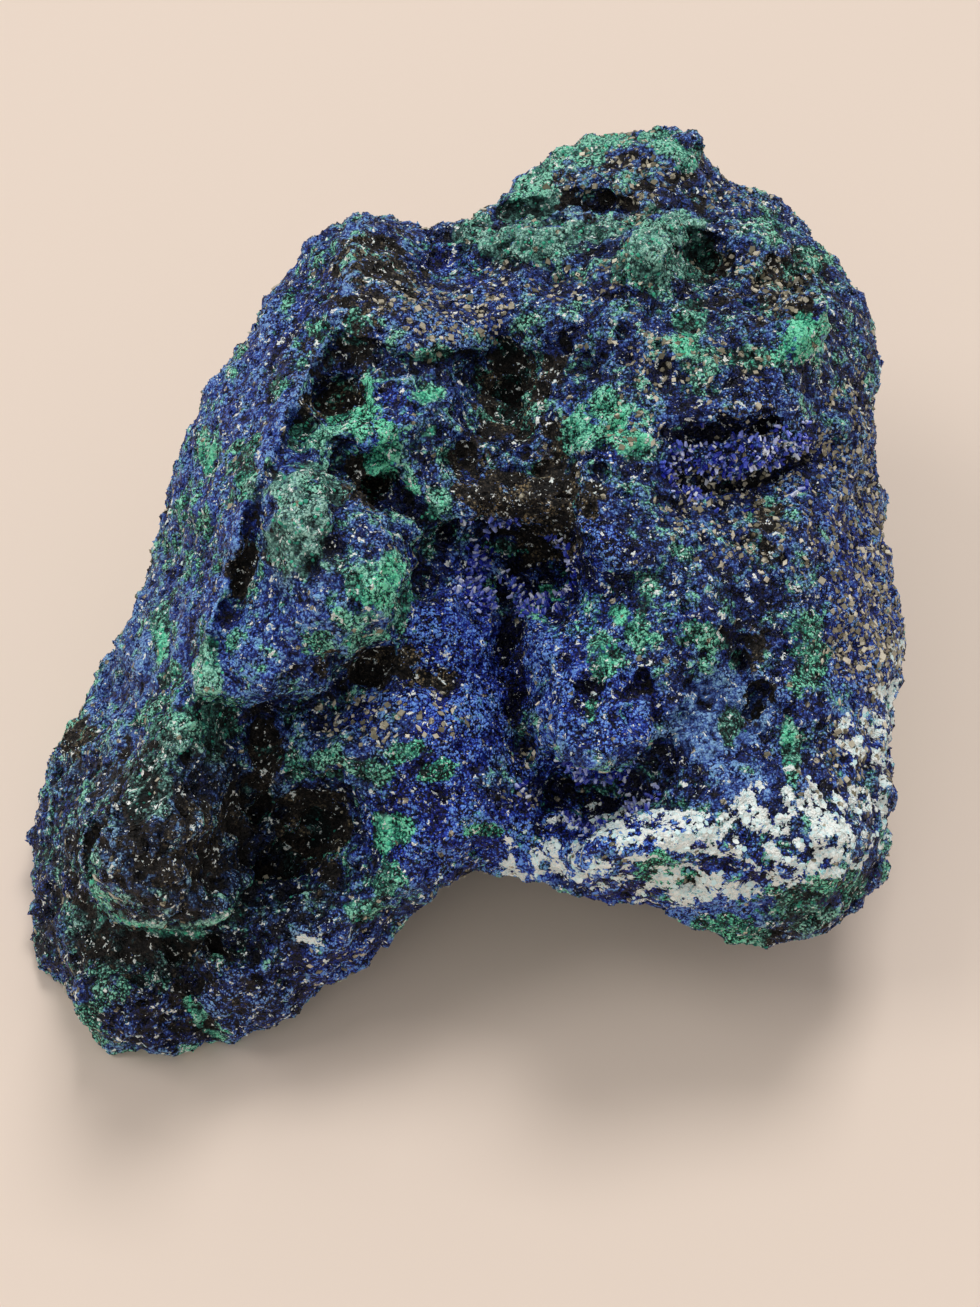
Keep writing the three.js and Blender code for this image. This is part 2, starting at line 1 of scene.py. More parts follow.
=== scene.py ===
# %% [markdown]
# # Azurite malachite specimen
# A rough mass of blue azurite and green malachite grown on brown rock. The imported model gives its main
# form in facets of about 5 mm. This lesson works it finer in five steps: carve it, weather it, say which
# mineral lies where, colour the minerals, and grow crystals, crusts and chips with Geometry Nodes.

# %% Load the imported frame
import math

import bmesh
import bpy
import numpy as np
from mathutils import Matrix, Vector, kdtree, noise


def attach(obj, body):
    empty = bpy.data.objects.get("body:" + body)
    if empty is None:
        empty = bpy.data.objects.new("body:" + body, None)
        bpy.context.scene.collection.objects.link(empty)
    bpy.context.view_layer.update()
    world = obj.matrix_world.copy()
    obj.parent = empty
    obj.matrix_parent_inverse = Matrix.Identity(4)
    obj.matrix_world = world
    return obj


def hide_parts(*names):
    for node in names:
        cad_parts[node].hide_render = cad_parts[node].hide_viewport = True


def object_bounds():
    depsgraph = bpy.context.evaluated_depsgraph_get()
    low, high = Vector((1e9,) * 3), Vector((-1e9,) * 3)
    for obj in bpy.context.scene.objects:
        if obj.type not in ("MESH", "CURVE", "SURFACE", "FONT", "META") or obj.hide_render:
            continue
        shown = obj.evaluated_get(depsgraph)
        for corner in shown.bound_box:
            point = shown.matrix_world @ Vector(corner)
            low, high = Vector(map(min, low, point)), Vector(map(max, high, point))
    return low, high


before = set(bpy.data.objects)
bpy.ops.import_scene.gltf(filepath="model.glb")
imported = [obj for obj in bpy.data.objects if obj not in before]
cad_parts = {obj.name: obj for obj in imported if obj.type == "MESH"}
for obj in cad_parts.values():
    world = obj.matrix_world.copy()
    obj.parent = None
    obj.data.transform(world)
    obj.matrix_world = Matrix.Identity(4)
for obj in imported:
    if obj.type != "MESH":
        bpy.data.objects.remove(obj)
MM = 0.001
CAD_BOX = [list(corner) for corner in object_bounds()]
print("CAD box in mm", [[round(x / MM, 1) for x in corner] for corner in CAD_BOX])

# %% [markdown]
# ## A sheet in front of the face
# The richest face of the stone is tipped up towards -Y. Places on it are given as on a flat sheet laid
# in front of it: `a` to the right and `b` up the face, in millimetres. An eye 400 mm out from the sheet
# sees each place through its (a, b). The camera stands at that eye, so a feature lands where it is
# drawn, however deep the rock lies behind the sheet.

# %% Sheet coordinates
FACE_TILT = math.radians(52)
FACE_CENTRE = np.array([5.0, -17.5, 40.0]) * MM
EYE_DISTANCE = 400.0
ACROSS_FACE = np.array([1.0, 0.0, 0.0])
UP_FACE = np.array([0.0, math.sin(FACE_TILT), math.cos(FACE_TILT)])
OUT_OF_FACE = np.array([0.0, -math.cos(FACE_TILT), math.sin(FACE_TILT)])
EYE = FACE_CENTRE + OUT_OF_FACE * EYE_DISTANCE * MM


def onto_sheet(points):
    """The sheet places a and b, in mm, of an array of points in metres."""
    from_centre = (points - FACE_CENTRE) / MM
    shrink = 1 - (from_centre @ OUT_OF_FACE) / EYE_DISTANCE
    return from_centre @ ACROSS_FACE / shrink, from_centre @ UP_FACE / shrink


def towards_eye(points):
    """The unit vector from each point to the eye."""
    away = EYE - points
    return away / np.linalg.norm(away, axis=1, keepdims=True)


# %% Camera
SENSOR_WIDTH = 36
LENS = 66.1


def put(name, data):
    """A new object in the scene that shows some data."""
    made = bpy.data.objects.new(name, data)
    bpy.context.collection.objects.link(made)
    return made


camera_data = bpy.data.cameras.new("camera")
camera_data.sensor_width = SENSOR_WIDTH
camera_data.lens = LENS
camera = put("camera", camera_data)
camera.location = EYE
camera.rotation_euler = (math.pi / 2 - FACE_TILT, 0, 0)
bpy.context.scene.camera = camera

# %% [markdown]
# ## The stone's form
# The stone is one solid, so it stays one mesh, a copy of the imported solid. A voxel remesh gives it even
# faces that can be carved, which the solid's long facets can't, and the whole skin is let in by about
# the height of the grains that grow on it later, so that the stone ends no bigger than the solid.

# %% Copy and remesh
FIRST_VOXEL = 1.3
LAST_VOXEL = 0.76
GRAIN_STAND = 0.3
FACET_EASING = 5
JOINING_DISTANCE = 0.001


def stone_copy():
    """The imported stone's mesh with its loose triangles joined, in an object of its own."""
    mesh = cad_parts["stone"].data.copy()
    piece = put("grown_stone", mesh)
    work = bmesh.new()
    work.from_mesh(mesh)
    bmesh.ops.remove_doubles(work, verts=work.verts, dist=JOINING_DISTANCE * MM)
    work.to_mesh(mesh)
    work.free()
    return piece


def bake_modifiers(piece):
    """Turns a piece's modifiers into plain mesh."""
    depsgraph = bpy.context.evaluated_depsgraph_get()
    baked = bpy.data.meshes.new_from_object(piece.evaluated_get(depsgraph))
    old = piece.data
    piece.modifiers.clear()
    piece.data = baked
    bpy.data.meshes.remove(old)
    print(piece.name, "has", len(baked.polygons), "faces")


def remesh(piece, voxel, easing=0):
    """Even quads of one voxel, in mm, with the facets eased as many times as `easing` says."""
    modifier = piece.modifiers.new("even_mesh", "REMESH")
    modifier.mode = "VOXEL"
    modifier.voxel_size = voxel * MM
    if easing:
        relax = piece.modifiers.new("relax", "SMOOTH")
        relax.iterations = easing
        relax.factor = 0.5
    bake_modifiers(piece)


def vertex_array(mesh, field="co"):
    """The vertices' places or normals as an array of three columns."""
    values = np.empty(len(mesh.vertices) * 3)
    mesh.vertices.foreach_get(field, values)
    return values.reshape(-1, 3)


def facing_eye(mesh):
    """How squarely each vertex faces the eye: 1 straight at it, and below 0 turned away."""
    return np.sum(vertex_array(mesh, "normal") * towards_eye(vertex_array(mesh)), axis=1)


def move_vertices(mesh, points):
    """Puts the vertices at new places."""
    mesh.vertices.foreach_set("co", points.ravel())
    mesh.update()


stone = stone_copy()
remesh(stone, FIRST_VOXEL, easing=FACET_EASING)
skin = vertex_array(stone.data) - vertex_array(stone.data, "normal") * GRAIN_STAND * MM
move_vertices(stone.data, skin)

# %% [markdown]
# ## Carving
# A sculptor would work the face with a few tools: hollows, lumps, grooves, rolls and ledges. Each is a
# short formula of the distance to a place or a path on the sheet, which numpy runs on every vertex at
# once. A smooth noise shakes the sheet a little, because no edge on broken rock is drawn with a ruler.
# Vertices move along the line of sight and only where they face the eye.

# %% Carving tools
WAVE_SHAKE, WAVE_SIZE = 1.4, 8.0
CHIP_SHAKE, CHIP_SIZE = 0.8, 2.6
EDGE_SWELL = 0.15


def eased(low, high, values):
    """0 below low, 1 above high and a smooth change between."""
    share = np.clip((values - low) / (high - low), 0, 1)
    return share * share * (3 - 2 * share)


def drift(points, size, seed):
    """Three smooth noises of about -1 to 1 for each point, which change over `size` mm."""
    places = points / (size * MM) + np.array((seed * 13.7, seed * 7.1, seed * 3.3))
    parts = [[noise.noise(place) for place in (places + shift).tolist()] for shift in (0.0, 31.3, 67.9)]
    return np.array(parts).T


def shaken_sheet(points):
    """Sheet places a and b shaken as a broken edge is, and a third noise to fray edges with."""
    wave = drift(points, WAVE_SIZE, seed=1) * WAVE_SHAKE + drift(points, CHIP_SIZE, seed=2) * CHIP_SHAKE
    a, b = onto_sheet(points)
    return a + wave[:, 0], b + wave[:, 1], wave[:, 2]


def path_distance(a, b, path):
    """Distance in mm to a path on the sheet, and 1 on its left side or -1 on its right."""
    nearest = np.full(len(a), 1e9)
    side = np.ones(len(a))
    for (a0, b0), (a1, b1) in zip(path, path[1:]):
        along_a, along_b = a1 - a0, b1 - b0
        share = ((a - a0) * along_a + (b - b0) * along_b) / (along_a**2 + along_b**2)
        share = np.clip(share, 0, 1)
        off_a, off_b = a - a0 - share * along_a, b - b0 - share * along_b
        distance = np.hypot(off_a, off_b)
        closer = distance < nearest
        nearest = np.where(closer, distance, nearest)
        side = np.where(closer, np.sign(along_a * off_b - along_b * off_a + 1e-9), side)
    return nearest, side


def oval(a, b, place):
    """0 at the middle of an oval (a, b, half width, half height) and 1 on its edge."""
    return np.hypot((a - place[0]) / place[2], (b - place[1]) / place[3])


def hollows(a, b, fray, places):
    """Pits with ragged edges, each an oval and a depth."""
    return sum(-depth * (1 - eased(0.4, 1.1, oval(a, b, place) + fray)) for *place, depth in places)


def lumps(a, b, places):
    """Domes, each an oval and a height."""
    return sum(height * np.clip(1 - oval(a, b, place) ** 2, 0, 1) for *place, height in places)


def grooves(a, b, lines):
    """Clefts along paths, each with a half width and a depth. A depth below 0 stands up as a roll."""
    return sum(
        -depth * (1 - eased(0.3, 1.3, path_distance(a, b, path)[0] / half_width))
        for path, half_width, depth in lines
    )


def ledges(a, b, lines):
    """Cliffs: the ground drops on a path's right side, eases back over a reach, and the edge swells."""
    lift = np.zeros(len(a))
    for path, height, reach in lines:
        distance, side = path_distance(a, b, path)
        lift -= np.where(side < 0, height, -EDGE_SWELL * height) * np.exp(-((distance / reach) ** 2))
    return lift


# %% Painting tools
def painted(a, b, fray, ground, strokes):
    """A layer: the ground with each stroke (a, b, half a, half b, value in percent) laid over it."""
    layer = np.full(len(a), float(ground))
    for *place, value in strokes:
        cover = 1 - eased(0.75, 1.25, oval(a, b, place) + fray)
        layer += (value / 100 - layer) * cover
    return layer


def stroke_along(path, half_width, value):
    """Round strokes close together along a path."""
    strokes = []
    for (a0, b0), (a1, b1) in zip(path, path[1:]):
        steps = max(1, round(math.hypot(a1 - a0, b1 - b0) / half_width))
        for step in range(steps):
            share = step / steps
            a, b = a0 + (a1 - a0) * share, b0 + (b1 - b0) * share
            strokes.append((a, b, half_width, half_width, value))
    return strokes


def keep_layer(mesh, name, values):
    """Stores a layer as an attribute of the mesh's vertices."""
    attribute = mesh.attributes.new(name, "FLOAT", "POINT")
    attribute.data.foreach_set("value", np.clip(values, 0, 1))


# %% What is carved where
HOLLOWS = [
    (3, 51, 2.5, 2.5, 4), (4, 43, 3.5, 4.5, 5), (5, 36, 2, 2, 3), (-2, 46, 1.5, 2, 2.5),
    (-21, 29, 3, 3.5, 4), (-26, 41, 4, 3.5, 5), (-31, 37, 2, 2, 3), (-17, -3, 8, 3.5, 3),
    (-38, -16, 2.5, 6, 5), (-29, -31, 6, 5, 3), (-33, -25, 3, 3, 3), (-43, -33, 3, 3, 2.5),
    (37, 64, 5, 3, 6), (29, 47, 2, 1.8, 2.5), (16, 46, 2.5, 2, 2.5), (7, -33, 2.5, 2, 4),
    (33, -38.5, 1.6, 1.4, 3), (17, -24.5, 8, 3, 4), (-1, -37, 2.5, 2, 4), (45, 1, 2.5, 9, 4),
    (7, 17, 6, 5, 3), (4, 4, 2, 5, 3), (-6, 64, 7, 4, 4), (48, 62, 6, 4, 3), (17, -6, 3, 4, 3.5),
    (-40, -28, 5, 7, 2.5), (-53, -33, 2.5, 2, 2.5), (-38, -42, 3, 2, 3), (-60, -25, 2.5, 2, 2),
    (-24, 10, 2, 2, 2), (26, -7, 2, 5, 3), (38, 44, 5, 2, 2), (57, -33, 3, 2, 1.5),
    (20, -38, 2, 1.5, 2), (-52, -50, 5, 2.5, 4), (-40, -50, 5, 2.5, 3), (11, 62, 7, 3, 1.5),
    (-4, 33, 3, 4, 3),
]
LUMPS = [
    (-34, 25, 6, 7, 3.5), (-36, 30, 3.5, 4, 1), (-19, 11, 6, 8, 3), (19, 17, 5, 5, 1.2),
    (-17, 38, 5, 4, 2), (29, 67, 5, 5, 3), (52, 52, 4, 4, 2.5), (-50, -32, 9, 9, 2.5),
    (-68, -14, 4, 4, 1.5), (33, -30, 10, 3, 1.2), (24, 82, 6, 5, 1.5), (9, 70, 7, 2.5, 2),
    (45, 42, 9, 4, 1.5), (8, 27, 10, 3, 2), (-2, 71, 4, 3, 2), (35, -14, 4, 6, 1.5),
    (43, 32.5, 9, 4, 2.5), (-33, -28, 3.5, 4, 3), (-24, -34, 2.5, 3, 2), (-5, 5, 8, 9, 1.5),
]
GROOVES = [
    ([(1.5, 11), (3, 5), (2.5, -2), (4, -9), (5.5, -17)], 1.4, 5),
    ([(33, 36.5), (38, 37.5), (43, 36.5), (47, 38.5)], 1.3, 6),
    ([(33.5, 28), (40, 28), (46, 30), (51.5, 33)], 1.4, 6),
    ([(2, 73.5), (10, 75), (18, 76), (26, 73.5)], 1.6, 5),
    ([(-40, 31), (-41, 19), (-43, 9), (-45, 1)], 3, 2.5),
    ([(-26, 34), (-20, 29), (-13, 24), (-7, 20.5)], 2.2, 4),
    ([(-27, -48), (-18, -46), (-12, -42)], 1, 1.5), ([(20, 59), (26, 58), (31, 60)], 1.2, 2),
    ([(-59, 6), (-52, 14), (-48, 26)], 1.4, 1.5),
]
BULGE_FOOT = [
    (-66, -28), (-66, -38), (-63, -43.5), (-56.5, -46), (-50, -46.4), (-43.3, -43.6), (-36, -33),
]
LEDGES = [
    ([(-43, 12), (-39.5, 27), (-35, 35), (-31, 43), (-28, 50)], 3.5, 8),
    ([(-27, 53), (-20, 51), (-12, 50), (-4, 50.5), (4, 50), (10, 52)], 3, 6),
    ([(-31.7, 14.7), (-27.5, 18.9), (-25.5, 25.6), (-26.7, 31.4)], 3.5, 4),
    ([(-46, -8), (-41, -9.5), (-36.7, -8), (-26.7, -6), (-23, -0.5), (-17.5, 3), (-14, 11)], 6, 6),
    (BULGE_FOOT, 7, 8),
    ([(-50.8, -50), (-49.2, -56), (-50, -58.6), (-47.5, -61), (-43.3, -64.4)], 2.5, 4),
    ([(-8.3, 20.6), (-3.3, 22.3), (1.7, 21.4), (11.7, 23), (14, 20.6)], 5, 7),
    ([(14.2, 32), (14, 24), (14.3, 15)], 3.5, 6), ([(14.2, 15), (20, 12.5), (27, 13)], 2, 3),
    ([(8, -15), (12, -19.5), (18.5, -21.3), (25, -18.5), (28, -14)], 5, 6),
    ([(-1, 31), (12, 32), (18, 31)], 1.5, 4), ([(38, 56), (43, 50), (47, 45)], 2, 4),
    ([(33, 27), (42, 28.5), (52, 33), (58, 36)], 3, 6),
    ([(14, -36), (30, -43), (46, -42), (60, -36)], 2, 4),
    ([(-2, 72.5), (10, 74.5), (26, 73), (36, 70)], 3, 5),
]
RIDGE = [
    (-23, 72), (-23.3, 65), (-23.8, 59), (-27, 53), (-30.3, 46.4), (-32.2, 40.6), (-35, 34.8),
    (-38.7, 30.6), (-40.8, 22.3), (-43, 15.6), (-45.8, 7.3), (-48.3, -4.4), (-50, -11),
]
HORSESHOE = [(9, 2), (8.5, -6), (11, -14), (17.5, -18), (24, -14), (25, -8)]
ROLLS = [
    (RIDGE, 1.6, -1.5), (HORSESHOE, 2.6, -3.5), ([(11.7, 57), (18, 62), (25, 69), (33, 72)], 3, -1.8),
    ([(-36, -48), (-20, -43), (-8, -38)], 1.6, -0.8),
    ([(-31.7, 35.6), (-27, 34.6), (-23.3, 37.3), (-19.2, 38.1), (-16.7, 35.6)], 1.2, -1.8),
    ([(-20, 47), (-19.8, 42), (-20, 38.5)], 0.8, -1.2),
]
CARVED_FACING = (0.1, 0.4)

skin = vertex_array(stone.data)
on_face = eased(*CARVED_FACING, facing_eye(stone.data))
sheet_a, sheet_b, fray = shaken_sheet(skin)
lift = hollows(sheet_a, sheet_b, fray, HOLLOWS) + lumps(sheet_a, sheet_b, LUMPS)
lift += grooves(sheet_a, sheet_b, GROOVES + ROLLS) + ledges(sheet_a, sheet_b, LEDGES)
lift *= on_face
move_vertices(stone.data, skin + towards_eye(skin) * lift[:, None] * MM)
print("carved from", round(lift.min(), 1), "to", round(lift.max(), 1), "mm")

# %% [markdown]
# ## Weathering
# Broken ore is rough at every scale: knobs of a few millimetres with creases between them, small dark
# vugs and a grit of single grains. The rule is the same all over, so it is a Geometry Nodes tree that
# lets the skin in between the knobs, along its normals. It runs coarse before the last remesh and fine
# after it. Where the rock is crumbly, as the layer `crumble` says, creases and vugs go deeper.


# %% Node helpers
def add(tree, kind, inputs=None, **settings):
    """Adds a node, sets its properties, and fills its sockets with numbers or with links."""
    made = tree.nodes.new(kind)
    for name, value in settings.items():
        setattr(made, name, value)
    for socket, value in (inputs or {}).items():
        fill(tree, made.inputs[socket], value)
    return made


def fill(tree, socket, value):
    """Links a socket to another node's output, or sets its own value."""
    if isinstance(value, bpy.types.NodeSocket):
        tree.links.new(value, socket)
    else:
        socket.default_value = value


def sum_up(tree, operation, *values):
    """One Math node."""
    made = tree.nodes.new("ShaderNodeMath")
    made.operation = operation
    for socket, value in zip(made.inputs, values):
        fill(tree, socket, value)
    return made.outputs[0]


def times(tree, one, other):
    """The product of two numbers."""
    return sum_up(tree, "MULTIPLY", one, other)


def scaled(tree, vector, factor):
    """A vector times a number."""
    return add(tree, "ShaderNodeVectorMath", {0: vector, "Scale": factor}, operation="SCALE").outputs[0]


def astray(tree, place, wander, reach):
    """A place shifted by a noise, so that what is drawn there wanders."""
    shift = scaled(tree, wander.outputs["Color"], reach)
    return add(tree, "ShaderNodeVectorMath", {0: place, 1: shift}, operation="ADD").outputs[0]


def from_to(tree, value, low, high, low_out=0.0, high_out=1.0):
    """Maps a number from one range to another, with soft ends."""
    sockets = {0: value, 1: low, 2: high, 3: low_out, 4: high_out}
    return add(tree, "ShaderNodeMapRange", sockets, interpolation_type="SMOOTHSTEP").outputs[0]


def geometry_tree(name, sockets):
    """A Geometry Nodes tree with geometry in and out, and inputs of the given names and kinds."""
    tree = bpy.data.node_groups.new(name, "GeometryNodeTree")
    for title, kind in {"Geometry": "Geometry", **sockets}.items():
        tree.interface.new_socket(name=title, in_out="INPUT", socket_type="NodeSocket" + kind)
    tree.interface.new_socket(name="Geometry", in_out="OUTPUT", socket_type="NodeSocketGeometry")
    return tree, add(tree, "NodeGroupInput"), add(tree, "NodeGroupOutput")


def run_tree(piece, tree, **values):
    """Puts a tree on a piece, sets its inputs by their identifiers, and bakes the result."""
    modifier = piece.modifiers.new(tree.name, "NODES")
    modifier.node_group = tree
    for item in tree.interface.items_tree:
        key = item.name.lower().replace(" ", "_")
        if item.in_out == "INPUT" and key in values:
            modifier[item.identifier] = values.pop(key)
    assert not values, f"{tree.name} has no input called {values}"
    bake_modifiers(piece)


def named(tree, name):
    """The value of one of the stone's layers, for a geometry tree."""
    return add(tree, "GeometryNodeInputNamedAttribute", {"Name": name}, data_type="FLOAT").outputs[0]


def smooth_noise(tree, vector, scale, detail=3.0):
    """A smooth noise whose waves are about 1 / scale long."""
    return add(tree, "ShaderNodeTexNoise", {"Vector": vector, "Scale": scale, "Detail": detail})


def cells(tree, vector, scale):
    """A mosaic of cells about 1 / scale across, each with a random colour."""
    return add(tree, "ShaderNodeTexVoronoi", {"Vector": vector, "Scale": scale})


# %% Weathering tree
def weathering_tree():
    """Creased knobs, vugs between them and grit, each with a size and a height in mm."""
    names = ("Knob Size", "Knob Height", "Vug Size", "Vug Depth", "Grit Size", "Grit Height")
    tree, start, end = geometry_tree("weathering", dict.fromkeys(names, "Float"))
    size = start.outputs
    in_mm = scaled(tree, add(tree, "GeometryNodeInputPosition").outputs[0], 1 / MM)

    def frequency(name, share=1.0):
        """The scale of a texture whose waves or cells are of a named size."""
        return sum_up(tree, "DIVIDE", share, size[name])

    wander = smooth_noise(tree, in_mm, frequency("Knob Size", 0.9))
    strayed = astray(tree, in_mm, wander, times(tree, size["Knob Size"], 1.1))
    knobs = cells(tree, strayed, frequency("Knob Size"))
    crease = from_to(tree, knobs.outputs["Distance"], 0.1, 0.75, -0.4, 0.6)
    fall = times(tree, crease, size["Knob Height"])
    vugs = cells(tree, strayed, frequency("Vug Size"))
    chance = add(tree, "ShaderNodeSeparateXYZ", {0: vugs.outputs["Color"]}).outputs[0]
    is_vug = from_to(tree, chance, 0.6, 0.66)
    bowl = from_to(tree, vugs.outputs["Distance"], 0.15, 0.5, 1.0, 0.0)
    dip = times(tree, times(tree, bowl, is_vug), size["Vug Depth"])
    grit = smooth_noise(tree, in_mm, frequency("Grit Size")).outputs["Fac"]
    grit_fall = times(tree, sum_up(tree, "SUBTRACT", 0.5, grit), size["Grit Height"])
    rough = times(tree, sum_up(tree, "ADD", fall, dip), named(tree, "crumble"))
    inward = times(tree, sum_up(tree, "ADD", rough, grit_fall), -MM)
    push = scaled(tree, add(tree, "GeometryNodeInputNormal").outputs[0], inward)
    moved = add(tree, "GeometryNodeSetPosition", {"Geometry": size["Geometry"], "Offset": push})
    tree.links.new(moved.outputs[0], end.inputs[0])
    return tree


WEATHERING = weathering_tree()

# %% How crumbly the rock is
CRUMBLE_FRAY = 0.25
CRUMBLE_GROUND = 0.65
CRUMBLE_BEHIND = 0.8
CRUMBLE = [
    (-45, 25, 12, 45, 35), (-6, 58, 17, 7, 10), (-20, 36, 12, 12, 90), (6, 34, 14, 16, 90),
    (43, 36, 12, 9, 50), (30, 66, 14, 10, 100), (-5, -4, 14, 16, 50), (19, 17, 6, 6, 25),
    (-48, -28, 18, 16, 100), (-30, -33, 12, 10, 100), (-10, -30, 16, 14, 50), (60, 10, 10, 26, 45),
    (40, -34, 26, 10, 50), (-50, -58, 22, 8, 80), (15, 72, 24, 6, 100),
]


def keep_crumble(a, b, fray, on_face):
    """How crumbly each vertex of the stone is, as a layer."""
    front = painted(a, b, fray * CRUMBLE_FRAY, CRUMBLE_GROUND, CRUMBLE)
    keep_layer(stone.data, "crumble", CRUMBLE_BEHIND + (front - CRUMBLE_BEHIND) * on_face)


# %% Coarse weathering, and the last remesh
THINNED_FACING = (-0.1, 0.3)
FAR_SIDE_SHARE = 0.8
STONE_TRIANGLES = 196000


def thin_far_side(piece, wanted):
    """Brings the mesh down to a number of triangles, mostly on the sides away from the eye."""
    away = 1 - eased(*THINNED_FACING, facing_eye(piece.data))
    group = piece.vertex_groups.new(name="far_side")
    for index, weight in enumerate(away):
        group.add([index], float(weight), "REPLACE")
    thin = piece.modifiers.new("thin", "DECIMATE")
    thin.ratio = wanted / (2 * len(piece.data.polygons))
    thin.vertex_group = "far_side"
    thin.vertex_group_factor = FAR_SIDE_SHARE
    bake_modifiers(piece)
    piece.vertex_groups.clear()


def drop_crumbs(piece):
    """Drops what weathering and the remesh cut off from the rest, which is what the top hangs on to."""
    work = bmesh.new()
    work.from_mesh(piece.data)
    shore = {max(work.verts, key=lambda vertex: vertex.co.z)}
    island = set(shore)
    while shore:
        shore = {edge.other_vert(vertex) for vertex in shore for edge in vertex.link_edges} - island
        island |= shore
    crumbs = [vertex for vertex in work.verts if vertex not in island]
    bmesh.ops.delete(work, geom=crumbs, context="VERTS")
    work.to_mesh(piece.data)
    work.free()
    print(piece.name, "lost", len(crumbs), "vertices")


keep_crumble(sheet_a, sheet_b, fray, on_face)
run_tree(
    stone, WEATHERING,
    knob_size=9.0, knob_height=1.3, vug_size=7.0, vug_depth=1.8, grit_size=7.0, grit_height=1.8,
)
remesh(stone, LAST_VOXEL)
thin_far_side(stone, STONE_TRIANGLES)
drop_crumbs(stone)

# %% Fine weathering
skin = vertex_array(stone.data)
keep_crumble(*shaken_sheet(skin), eased(*CARVED_FACING, facing_eye(stone.data)))
run_tree(
    stone, WEATHERING,
    knob_size=4.0, knob_height=1.3, vug_size=3.2, vug_depth=1.6, grit_size=1.8, grit_height=1.8,
)

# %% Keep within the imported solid's box
lowest = np.array(CAD_BOX[0]) + GRAIN_STAND * 0.5 * MM
highest = np.array(CAD_BOX[1]) - GRAIN_STAND * MM
lowest[2] = 0.0
move_vertices(stone.data, np.clip(vertex_array(stone.data), lowest, highest))

# %% [markdown]
# ## The mineral map
# Which mineral lies where is painted on the same sheet, in broad strokes: each is an oval, its middle
# and half sizes in mm, and a value in percent. Later strokes lie over earlier ones, noise frays their
# edges, and each layer is kept as a number on every vertex, where the grains that grow later can read
# it too. Round the back, where nothing is drawn, large soft noises share the rock out.

# %% Malachite strokes
LEFT_WALL_GREEN = [
    (-36, 45, 2, 3.5, 80), (-41, 31, 2, 5, 80), (-29, 54, 1, 2.5, 60), (-34, 60, 1.5, 1.5, 50),
    (-50, 23, 3, 4, 60), (-47, 34, 2, 3.5, 50), (-42, 51, 2, 1.5, 45), (-48, 42, 2, 1.5, 40),
    (-49, 16, 3, 4, 45), (-55, 5, 2.5, 5, 65), (-53, -4, 2, 2, 80), (-47.5, -4, 2.2, 8, 85),
]
BASIN_GREEN = [
    (-22.5, 54, 2, 3.5, 60), (3, 51, 2, 2, 80), (4, 43, 4, 4, 55), (20, 42, 3, 2.5, 75),
    (16, 36, 3, 3, 90), (24, 35, 3, 3, 80), (-10, 50, 3, 0.8, 80), (-10, 43, 2.5, 1.6, 90),
]
MINT_GREEN = [
    (-20, 44, 0.6, 5, 100), (-23, 37.5, 3, 2, 90), (-16.5, 34, 2, 3, 100), (-19, 31.5, 2.5, 2, 95),
    (-17, 38, 2, 1.2, 95), (-10, 37, 2, 1, 80), (-9, 25, 1.4, 3.5, 90), (-13.5, 29, 1, 1, 80),
]
LUMP_GREEN = [
    (-32, 24, 6, 8, 75), (-32, 18, 4, 2.5, 80), (-19, 12, 4, 4, 80), (-15.5, 8, 2, 5, 70),
    (-21, 4, 4, 2.5, 60), (-30, 2, 3, 2, 50), (2, 18, 3, 1, 80), (10.5, 10.5, 2, 1.1, 100),
]
RIGHT_GREEN = [
    (25.5, 6.5, 2.5, 7, 80), (19, -1, 2.5, 5, 75), (35, 3, 6.5, 2.3, 75), (41.5, 0, 1, 3, 60),
    (17, -9, 0.8, 4, 90), (53, 1, 3, 7, 65), (50.5, -15, 2.5, 5, 85), (40, -12, 2, 3.5, 60),
    (7, 7, 0.5, 1, 100),
]
TOP_GREEN = [
    (8, 69.5, 10, 3, 95), (-2, 71, 3, 3, 100), (27, 66, 5, 6, 95), (16, 84, 3, 2, 80),
    (7, 76, 4, 4, 80), (33, 84, 3, 2, 80), (30, 67, 6, 5, 75), (33, 56, 3, 3, 80), (46, 71, 4, 3, 50),
    (52, 65, 4, 2.5, 60), (52, 52, 2.5, 4, 85), (57, 55, 2, 2, 95), (40, 49, 7, 2, 60),
]
LOW_GREEN = [
    (-50, -12, 9, 5, 75), (-57, -22, 4, 6, 65), (-32, -19, 4, 3, 85), (-27, -18, 4, 2, 85),
    (-20, -19.5, 3, 2, 85), (-14, -16, 3.5, 1.8, 85), (-9, -19.5, 3, 2, 80), (-17, -30, 3, 3, 85),
    (-17, -37, 3.5, 3.5, 85), (-22, -43, 3.5, 2.5, 80), (-1, -29, 2.6, 1.2, 95), (-28, -29, 2, 3, 70),
    (-33, -35, 2, 2, 60), (-66, -37, 1.5, 4, 70), (-62, -43, 3, 1.5, 70), (-56, -46, 3, 1.2, 70),
    (-50, -45.5, 5, 1.2, 70), (-43, -44, 3, 1.2, 70), (-62, -49, 9, 8, 45), (-68, -61, 2.5, 3, 70),
    (25, -46, 5, 3, 70), (33, -49, 5, 3, 70), (42, -47, 6, 3, 70), (52, -43, 6, 3, 70),
    (60, -39, 5, 3, 70), (66, -36, 3, 3, 70), (30, -37, 5, 2.5, 60),
]
MINT_ARCH = stroke_along([(-20, 40), (-23, 39), (-26, 37), (-29, 35.5), (-32, 36.5)], 0.9, 100)
MOUND_CREST = (
    stroke_along([(2, 73.5), (6, 78), (11, 84), (17, 85.8), (24, 86.5)], 1.8, 95)
    + stroke_along([(27, 86), (31, 84), (34, 81)], 1.6, 90)
    + stroke_along([(-1, 68.5), (5, 70), (11, 71), (17, 70.5)], 1.3, 95)
    + stroke_along([(22, 63), (24, 68), (27, 71), (31, 72), (35.5, 70.5)], 1.3, 90)
)
